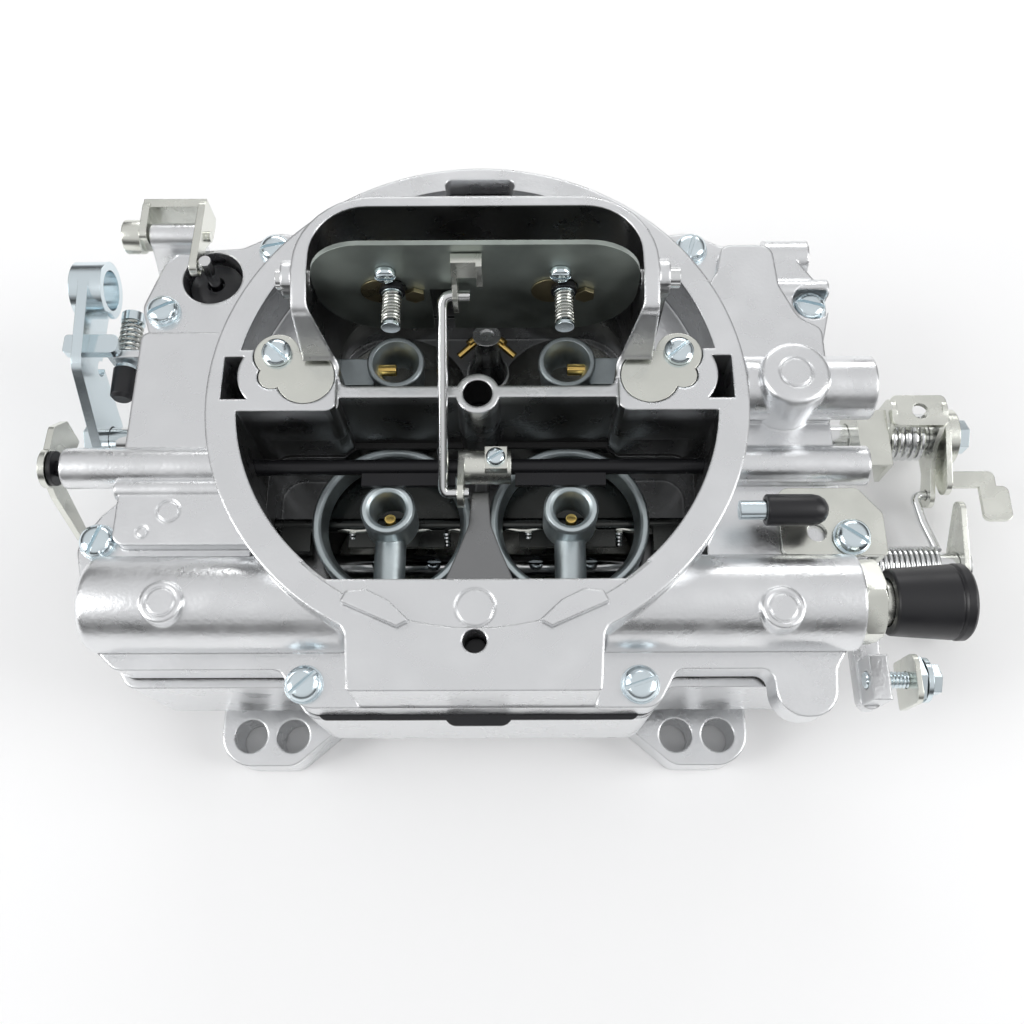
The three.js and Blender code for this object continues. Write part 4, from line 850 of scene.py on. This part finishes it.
# ------------------------------------------------------------------ fixed brackets and adjusting screws
def build_brackets():
    plate = join(
        slab_z([(74, -36.4, 2), (74, -18.8, 3), (94, -18.8, 2), (99.6, -25.6, 2), (99.6, -36.4, 1)],
               66.3, 67.7),
        block(98.2, 99.6, -36, -26, 58, 67.5),
    )
    cut(plate, rod_z(82.9, -30.5, 60, 70, 2.4), rod_z(91, -32, 60, 70, 2.7))
    stand_in("choke_cable_bracket", plate, "zinc_plate")
    clamp = join(thread((0, 0, 0), (12, 0, 0), 2.3), rod((11.9, 0, 0), (14.8, 0, 0), 6.4, HEX),
                 rod_x(15.1, 16.4, 0, 0, 6), rod((16.3, 0, 0), (19.4, 0, 0), 4.3, HEX),
                 rod_x(12, 17, 0, 0, 1.9))
    stand_in("cable_clamp_screw", clamp, "bright_zinc", 102, -60, 32.5)
    add_piece("cable_clamp_plate", cut(
        slab_x([(-67, 25, 1), (-67, 40, 3), (-54, 40, 3), (-54, 25, 1)], 113.2, 114.6),
        rod_x(112, 117, -60, 32.5, 2.4)), "zinc_plate", "housing")
    for side, name in SIDES:
        needle = join(taper((0, -3.4, 0), (0, 0.6, 0), 0.4, 1.9), thread((0, 0.5, 0), (0, 13, 0), 1.9),
                      rod_y(0, 12.9, 20, 0, 1.6))
        head = cut(rod_y(0, 20, 24, 0, 3.8), block(-5, 5, 22.9, 25, -0.5, 0.5))
        place = (side * MIXTURE.x, 52, MIXTURE.z)
        stand_in(f"idle_mixture_screw_{name}", join(needle, head), "bright_zinc", *place)
        coil = spring((0, 6.8, 0), (0, 19.6, 0), 2.7, 0.45, 7)
        add_piece(f"idle_mixture_spring_{name}", coil, "spring", "housing", *place)
    screw = join(thread((0, 26, 0), (0, 51, 0), 1.7, 0.9), rod_y(0, 26.5, 35.2, 0, 3.3))
    head = cut(rod_y(0, 50.3, 53.2, 0, 3.6), block(-5, 5, 52.2, 54, -0.5, 0.5))
    body, place = BODY_OF["idle_speed_screw"], (SPEED_SCREW.x, 0, SPEED_SCREW.z)
    stand_in("idle_speed_screw", join(screw, head), "bright_zinc", *place)
    cap = revolve((0, 24.4, 0), (0, 34, 0), [(0, 2.4), (1, 3.4), (9.6, 3.6)])
    add_piece("idle_speed_cap", cap, "rubber", body, *place)
    add_piece("idle_speed_spring", spring((0, 38.9, 0), (0, 50, 0), 2.9, 0.5, 7), "spring", body, *place)


# ------------------------------------------------------------------ throttle shafts, plates and levers
def make_shaft(x0, x1, plate_r):
    shaft = rod_x(x0, x1, 0, 0, SHAFT_R)
    cut(shaft, *[block(x - plate_r - 0.5, x + plate_r + 0.5, -5, 5, -1.1, 1.1) for x in (-BORE_X, BORE_X)])
    return join(shaft, *[rod_z(x, 0, -2, 2, 1) for x in (-BORE_X, BORE_X)])


def make_disc(r):
    return cut(rod_z(0, 0, -0.8, 0.8, r), rod_z(0, 0, -5, 5, 1.4))


def shaft_hole(x0, x1, y):
    return rod_x(x0, x1, y, THROTTLE_Z, SHAFT_R + GAP + 0.05)


def build_throttles():
    for label, y, bore_r, x0, x1 in (("primary", PRIMARY_Y, PRIMARY_R, -124, 143.5),
                                     ("secondary", SECONDARY_Y, SECONDARY_R, -101, 143)):
        plate_r = bore_r - PLATE_GAP
        stand_in(f"{label}_throttle_shaft", make_shaft(x0, x1, plate_r), "steel", y=y, z=THROTTLE_Z)
        for side, name in SIDES:
            x = side * BORE_X
            stand_in(f"{label}_throttle_plate_{name}", make_disc(plate_r), "zinc_plate", x, y, THROTTLE_Z)
            for dx in (-8, 8):
                add_piece(f"{label}_plate_screw_{name}_{dx + 8}", shift(slotted_head(2.2, 1.6), z=3.2),
                          "bright_zinc", f"{label}_throttle", x + dx, y, THROTTLE_Z)
    lever = join(bar_x((PRIMARY_Y, THROTTLE_Z, 9), (34, 38, 7), -119.5, -116.5),
                 bar_x((34, 38, 7), (57.7, 40, 8.5), -119.5, -116.5),
                 rod_x(-122.5, -113, 57.7, 40, 8.5),
                 slab_z([(-124, 35.6, 1), (-124, 41.6, 1), (-108, 41.6, 2), (-108, 35.6, 2)], 38.5, 41.5))
    cut(lever, rod_x(-125, -110, 57.7, 40, 6), shaft_hole(-125, -110, PRIMARY_Y),
        rod_x(-125, -110, 36, 31, 2.5))
    stand_in("throttle_lever", lever, "bright_zinc")
    nut = join(rod((-123.4, 0, 0), (-119.8, 0, 0), 6.4, HEX), rod_x(-124.4, -119.8, 0, 0, 2.6))
    cut(nut, rod_x(-124, -119, 0, 0, 4.1))
    add_piece("throttle_shaft_nut", nut, "bright_zinc", "primary_throttle", y=PRIMARY_Y, z=THROTTLE_Z)


def build_fuel_side_linkage():
    hub = (PRIMARY_Y, THROTTLE_Z, 7)
    y1, z1 = PRIMARY_Y + CRANK.y, THROTTLE_Z + CRANK.z
    drive = join(
        bar_x(hub, (22, 26, 4.5), 121.5, 123),
        bar_x(hub, (22, 26, 4.5), 136.6, 138.1),
        bar_x(hub, (9, 12, 3.5), 136.6, 138.1),
        bar_x((9, 12, 3.5), (y1, z1, 4), 136.6, 138.1),
        pad(121.5, 138.1, 16.5, 26.4, 2, 28.4, 30),
    )
    cut(drive, shaft_hole(120, 140, PRIMARY_Y), rod_z(130, 21.2, 25, 32, 2.5), rod_x(135, 140, y1, z1, 1.8))
    stand_in("secondary_drive_lever", drive, "zinc_plate")
    coil = spring((124.4, PRIMARY_Y, THROTTLE_Z), (135.4, PRIMARY_Y, THROTTLE_Z), 6.4, 0.95, 5)
    stand_in("drive_lever_spring", coil, "steel")
    bracket = join(slab_x([(4.8, 10, 2), (4.8, 27, 3), (24, 27, 3), (28, 12, 6), (15, 6.5, 6)],
                          111.8, 113.3),
                   block(111.8, 120.8, 5, 23, 25.6, 27), block(119.4, 120.8, 5, 10, 14, 27))
    stand_in("drive_lever_bracket", cut(bracket, shaft_hole(110, 122, PRIMARY_Y)), "zinc_plate")
    outer = join(bar_x((PRIMARY_Y, THROTTLE_Z, 9.4), (4, 16, 4), 139.3, 140.9),
                 slab_z([(140.4, 1.2, 1), (140.4, 6.2), (154, 6.2, 2), (154, 1.2)], 17.5, 19),
                 slab_z([(149, -9.5, 2), (149, 1.4), (157.5, 1.4, 2), (157.5, -9.5, 2)], 17.5, 19),
                 rod_x(140.8, 144.2, PRIMARY_Y, THROTTLE_Z, 8.6))
    cut(outer, shaft_hole(138, 143.8, PRIMARY_Y), rod_x(142, 146, PRIMARY_Y, THROTTLE_Z, 2.5))
    stand_in("outer_fast_idle_lever", outer, "zinc_plate")
    bolt = join(rod((144.4, 0, 0), (148.6, 0, 0), 5.2, HEX), rod_x(143.6, 144.6, 0, 0, 2.1))
    add_piece("throttle_shaft_bolt", bolt, "bright_zinc", "primary_throttle", y=PRIMARY_Y, z=THROTTLE_Z)

    ys, zs = SECONDARY_Y + CRANK.y, THROTTLE_Z + CRANK.z
    lever = join(bar_x((SECONDARY_Y, THROTTLE_Z, 7), (ys, zs, 4), 139.4, 141),
                 bar_x((SECONDARY_Y, THROTTLE_Z, 7), (-8, 22, 3), 139.4, 141))
    cut(lever, shaft_hole(138, 142, SECONDARY_Y), rod_x(138, 142, ys, zs, 1.8))
    stand_in("secondary_lever", lever, "zinc_plate")
    coil = spring((108, SECONDARY_Y, THROTTLE_Z), (134, SECONDARY_Y, THROTTLE_Z), 5.2, 0.65, 17)
    add_piece("secondary_return_spring", coil, "steel", "secondary_throttle")
    path = bent([(138.8, 0, 0), (133, 0, 0), (134.6, -9, 0), (137.2, -17, 0), (137.2, -42, 0),
                 (142.6, -42, 0)], 3)
    stand_in("throttle_link_rod", tube(path, LINK_R + 0.1), "steel", y=y1, z=z1)


# ------------------------------------------------------------------ choke
def build_choke():
    y, z = CHOKE.y, CHOKE.z
    half = [(-CHOKE.half_x, -CHOKE.below, 16), (-CHOKE.half_x, CHOKE.above, 12.5)]
    plate = plate_y(outline(mirrored(half)), -1.5, -0.3)
    cut(plate, block(-11, -5.8, -3, 1, -CHOKE.below - 1, -2),
        *[rod_y(x, -4, 2, -1, 3.3) for x in (-19.5, 20.5)])
    stand_in("choke_plate", plate, "dark_zinc", y=y, z=z)
    shaft = cut(rod_x(-46.4, 47.4, 0, 0, CHOKE.r), block(-38.3, 38.3, -3, 0, -3, 3))
    stand_in("choke_shaft", shaft, "steel", y=y, z=z)
    lever = join(block(-5.2, 1.8, -4.2, -1.8, 6.5, 12.5), block(0.4, 1.8, -5.2, -1.8, 4.5, 12.5),
                 slab_x([(-1.8, 12.5), (-4.2, 12.5), (-5, 5), (-7.2, 2.6, 2), (-7.2, -4.6, 2),
                         (-1.8, -4.6)], -5.2, -4))
    cut(lever, rod_x(-6, -3, LINK_TOP.y - y, LINK_TOP.z - z, 1.9))
    stand_in("choke_lever", lever, "zinc_plate", y=y, z=z)
    body = BODY_OF["choke_plate"]
    for side, name in SIDES:
        x = side * 20 + 0.5
        pin = join(rod_y(0, -12.5, -0.4, 0, 1), rod_y(0, -12.5, -11.6, 0, 2.2),
                   rod_y(0, -3.6, -3.2, 0, 2.5))
        stand_in(f"choke_relief_valve_{name}", pin, "bright_zinc", x, y, z - 1)
        flap = overlap(rod_y(-3, -1.9, -1.6, -1.4, 4.6), block(-9, 0.5, -3, 0, -7, 4))
        for label, shape, finish in (
                ("spring", spring((0, -11.4, 0), (0, -3.9, 0), 1.9, 0.42, 9), "spring"),
                ("seat", rod_y(0, -3.1, -1.8, 0, 3), "black_steel"),
                ("flap", flap, "aged_brass"),
                ("nut", rod((5, -2.6, -2.6), (5, -1.6, -2.6), 2.5, HEX), "aged_brass")):
            add_piece(f"choke_relief_{label}_{name}", shape, finish, body, x, y, z - 1)
        screw = slotted_head(2.5, 1.9, 0.7, 0.9)
        screw.data.transform(Matrix.Rotation(math.pi / 2, 4, "X"))
        add_piece(f"choke_plate_screw_{name}", shift(screw, y=-1.6), "bright_zinc", body, x - 1, y, z + 5)
    path = bent([(6.4, 0, 0), (0, 0, 0), (-0.9, -37, -27.8), (-0.4, -38.1, -28.6),
                 (5.4, -38.1, -28.6)], 2.6)
    stand_in("choke_link_rod", tube(path, LINK_R), "steel", -7.8, LINK_TOP.y, LINK_TOP.z)


# ------------------------------------------------------------------ air valve and auxiliary valve
def build_air_valve():
    y, z, r = AIR_VALVE.y, AIR_VALVE.z, AIR_VALVE.r
    shaft = join(rod_x(-109.8, 57, 0, 0, r), block(-29.5, -6, -5.2, -1, -0.8, 0.6),
                 block(9, 31.7, -5.2, -1, -0.8, 0.6))
    stand_in("air_valve", shaft, "black_steel", y=y, z=z)
    dy, dz = LINK_BOTTOM.y - y, LINK_BOTTOM.z - z
    clamp = join(rod_x(-4, 8, 0, 0, 4.4), block(1.5, 7, -3, 3, 1, 6),
                 bar_x((0, 0, 4.4), (dy, dz, 3.6), -5.2, -3.6))
    cut(clamp, rod_x(-6, 9, 0, 0, r + GAP), rod_x(-6, -3, dy, dz, 2.3))
    stand_in("air_valve_clamp", clamp, "zinc_plate", y=y, z=z)
    add_piece("air_valve_clamp_screw", slotted_head(2.4, 1.6, 0.7, 0.9, 0.6), "bright_zinc",
              BODY_OF["air_valve_clamp"], 4.2, y, z + 6)
    lever = join(slab_x([(-14, 70.5, 1), (-2, 69.5, 2), (2.5, 63.5, 1), (0.5, 55), (-2.5, 56), (-4, 61, 1),
                         (-13.5, 60, 1), (-20, 42.5), (-23.5, 43.5), (-18.5, 62, 1)], -109.5, -107.9),
                 rod_x(-109.5, -107.9, y, z, 5))
    cut(lever, rod_x(-112, -105, y, z, r + GAP))
    stand_in("air_valve_lever", lever, "zinc_plate")
    washer = rod_x(-107.7, -106.6, y, z, 4.4)
    add_piece("air_valve_washer", washer, "rubber", BODY_OF["air_valve_lever"])


def build_auxiliary_valve():
    y, z = AUX_VALVE.y, AUX_VALVE.z
    flap = rod_x(-57, 57, y, 0, AUX_VALVE.r)
    for side in (-1, 1):
        cx = side * BORE_X
        front = overlap(rod_z(cx, SECONDARY_Y, -0.6, 0.6, 20.3),
                        block(cx - 30, cx + 30, y, 0, -1, 1))
        join(flap, front, block(cx - 13, cx + 13, y - 6.5, y + 1, -0.6, 0.6),
             block(*span(side, 46, 54), y - 8, y - 1, -1.6, 1.6),
             block(*span(side, 44.6, 54), y - 3, y + 1, -0.8, 0.8))
    # Painted shade: the valve takes the darkened cast aluminium, standing in for the shade deep in the
    # bores.
    stand_in("auxiliary_valve", flap, "shade_painted_cast", z=z)
    body = BODY_OF["auxiliary_valve"]
    wave = [(x, y - 1.3 + 0.5 * math.sin(x * 0.42), z + 0.3) for x in range(-56, 55, 2)]
    add_piece("auxiliary_valve_bar", tube(wave, 0.75, 10), "zinc_plate", body)
    for k, x in enumerate((-35, -9.5, 12.5, 37)):
        screw = thread((x, y - 2.4, z + 0.8), (x, y - 5.6, z - 1.6), 1.1, 0.8)
        add_piece(f"auxiliary_valve_screw_{k}", screw, "steel", body)


# ------------------------------------------------------------------ floats, pistons and pump
def build_hidden_pieces():
    """The floats and needles keep their CAD shapes, since they're shut inside the bowls."""
    for side, name in SIDES:
        for node, finish in ((f"float_{name}", "foam"), (f"inlet_needle_{name}", "brass")):
            obj = frame["nodes"][node]
            obj.data.materials.clear()
            obj.data.materials.append(FINISH[finish])
        piston = join(soft_rod((0, 0, 60), (0, 0, 72), 4.5, 0.6), rod_z(0, 0, 34, 60.1, 1.1))
        stand_in(f"step_up_piston_{name}", piston, "brass", side * METER.x, METER.y)


def build_pump():
    pin_y, pin_z = -12.2, 3.4
    lever = join(
        slab_x([(-3, -3.6, 2), (-3, 4.5, 2), (9, 4.5, 2), (9.4, -5.5, 2)], -93, -91),
        slab_x([(-14.5, 1, 2), (-14.5, 6, 2), (9, 4.5, 2), (9.4, -5.5, 2), (3, -5, 2), (-4, 0, 2)],
               -77.7, -75.7),
        block(-93, -75.7, 7, 9.6, -5, 4),
        rod_x(-93.6, -74.6, 0, 0, 1.5),
        soft_rod((-98, 0, 0), (-92.8, 0, 0), 4.6, 0.5),
    )
    stand_in("pump_lever", cut(lever, rod_x(-80, -74, pin_y, pin_z, 2)), "zinc_plate",
             y=PUMP_PIVOT.y, z=PUMP_PIVOT.z)
    plunger = join(rod_z(0, 0, 45, 74, 1.6), rod_z(0, 0, 39, 45.1, 6.1),
                   rod_x(-4.8, 0, 0, PUMP_PIVOT.z + pin_z, 1.1))
    stand_in("pump_plunger", plunger, "steel", PUMP.x, PUMP.y)
    boot = cut(revolve((0, 0, 60), (0, 0, 62.8), [(0, 7.5), (1.5, 7.2), (2.1, 5.4), (2.8, 3.8)]),
               rod_z(0, 0, 59, 71, 2.4))
    add_piece("pump_boot", boot, "rubber", "housing", PUMP.x, PUMP.y)


def build_castings():
    """The three castings' shapes, and black inserts that paint the shade seen in four of their recesses."""
    stand_in("main_body", make_main_body(), "cast")
    stand_in("air_horn_gasket", make_gasket(), "gasket")
    stand_in("air_horn", make_air_horn(), "cast")
    # Part gasket edge and part painted shadow: a black strip along the gasket's front, where the gap
    # between horn and body lies in shade.
    lip = join(slab_z(mirrored([(-9, -72, 1), (-7, -75.4, 3)]), *GASKET),
               slab_z(mirrored([(-39, -71), (-38, -74, 2)]), *GASKET))
    # Painted shade: black discs in the black rubber finish at the bottoms of three holes, and the black
    # strip at the gasket's front.
    for name, insert in (("seat_notch_shade", pad(-8.8, 8.8, 57.5, 61.4, 2, 78, 79)), ("gasket_lip_and_gap_shade", lip),
                         ("deck_hole_shade", rod_z(0, -61.5, 76, 77, 2.5)),
                         ("hub_hole_shade", rod_z(0, 0, 70, 71, 3.4))):
        add_piece(name, insert, "rubber", "housing")


# ------------------------------------------------------------------ studio
CAMERA_AT = (9.03, -112.36, 298.27)
CAMERA_LENS = 35.09
CAMERA_ELEVATION = math.radians(69.232)
CAMERA_AZIMUTH = math.radians(0.556)
CAMERA_ROLL = math.radians(-0.723)


def make_camera():
    camera = bpy.data.objects.new("camera", bpy.data.cameras.new("camera"))
    camera.data.sensor_width = 36
    camera.data.lens = CAMERA_LENS
    camera.data.clip_start = 0.01
    e, a = CAMERA_ELEVATION, CAMERA_AZIMUTH
    ahead = Vector((-math.sin(a) * math.cos(e), math.cos(a) * math.cos(e), -math.sin(e)))
    right = Vector((math.cos(a), math.sin(a), 0))
    up = right.cross(ahead)
    c, s = math.cos(CAMERA_ROLL), math.sin(CAMERA_ROLL)
    right, up = c * right + s * up, c * up - s * right
    turn = Matrix((right, up, -ahead)).transposed().to_4x4()
    camera.matrix_world = Matrix.Translation(Vector(CAMERA_AT) * MM) @ turn
    bpy.context.scene.collection.objects.link(camera)
    bpy.context.scene.camera = camera


def make_floor():
    floor = new_object("floor", [(-3, -3, 0), (3, -3, 0), (3, 3, 0), (-3, 3, 0)], [(0, 1, 2, 3)])
    floor.location.z = cad_bounds[0][2] - 0.0003
    material = bpy.data.materials.new("floor")
    material.use_nodes = True
    shader = material.node_tree.nodes["Principled BSDF"]
    shader.inputs["Base Color"].default_value = (0.92, 0.92, 0.92, 1)
    shader.inputs["Roughness"].default_value = 0.9
    floor.data.materials.append(material)


def make_world():
    """A bright ceiling that darkens towards the horizon, so that upright walls reflect dark."""
    world = bpy.data.worlds.new("studio")
    bpy.context.scene.world = world
    world.use_nodes = True
    tree = world.node_tree
    coordinates = tree.nodes.new("ShaderNodeTexCoord")
    split = tree.nodes.new("ShaderNodeSeparateXYZ")
    ramp = tree.nodes.new("ShaderNodeValToRGB")
    stops = ((0, 0.5), (0.1, 0.22), (0.28, 0.05), (0.46, 0.3), (0.62, 0.68), (1, 0.76))
    while len(ramp.color_ramp.elements) < len(stops):
        ramp.color_ramp.elements.new(0.5)
    for element, (position, level) in zip(ramp.color_ramp.elements, stops):
        element.position = position
        element.color = (level, level, level * 1.01, 1)
    link(tree, coordinates, "Generated", split, "Vector")
    tree.links.new(split.outputs["Z"], ramp.inputs["Fac"])
    background = tree.nodes["Background"]
    tree.links.new(ramp.outputs["Color"], background.inputs["Color"])
    background.inputs["Strength"].default_value = 1.0


def add_light(name, place, size, power):
    """An area light that faces the frame's origin."""
    light = bpy.data.lights.new(name, "AREA")
    light.shape = "RECTANGLE"
    light.size, light.size_y = size
    light.energy = power
    obj = bpy.data.objects.new(name, light)
    place = Vector(place)
    turn = (-place).to_track_quat("-Z", "Y").to_matrix().to_4x4()
    obj.matrix_world = Matrix.Translation(place) @ turn
    bpy.context.scene.collection.objects.link(obj)


def make_studio():
    make_camera()
    make_floor()
    make_world()
    add_light("left", (-1.15, -0.25, 0.75), (0.6, 1.0), 9)
    add_light("right", (1.15, -0.15, 0.75), (0.6, 1.0), 8)
    add_light("rear", (0.1, 1.25, 0.6), (1.2, 0.4), 5)
    bpy.context.scene.view_settings.view_transform = "Standard"


make_studio()
build_castings()
build_throat_pieces()
build_screws()
build_inlets()
build_brackets()
build_throttles()
build_fuel_side_linkage()
build_choke()
build_air_valve()
build_auxiliary_valve()
build_hidden_pieces()
build_pump()
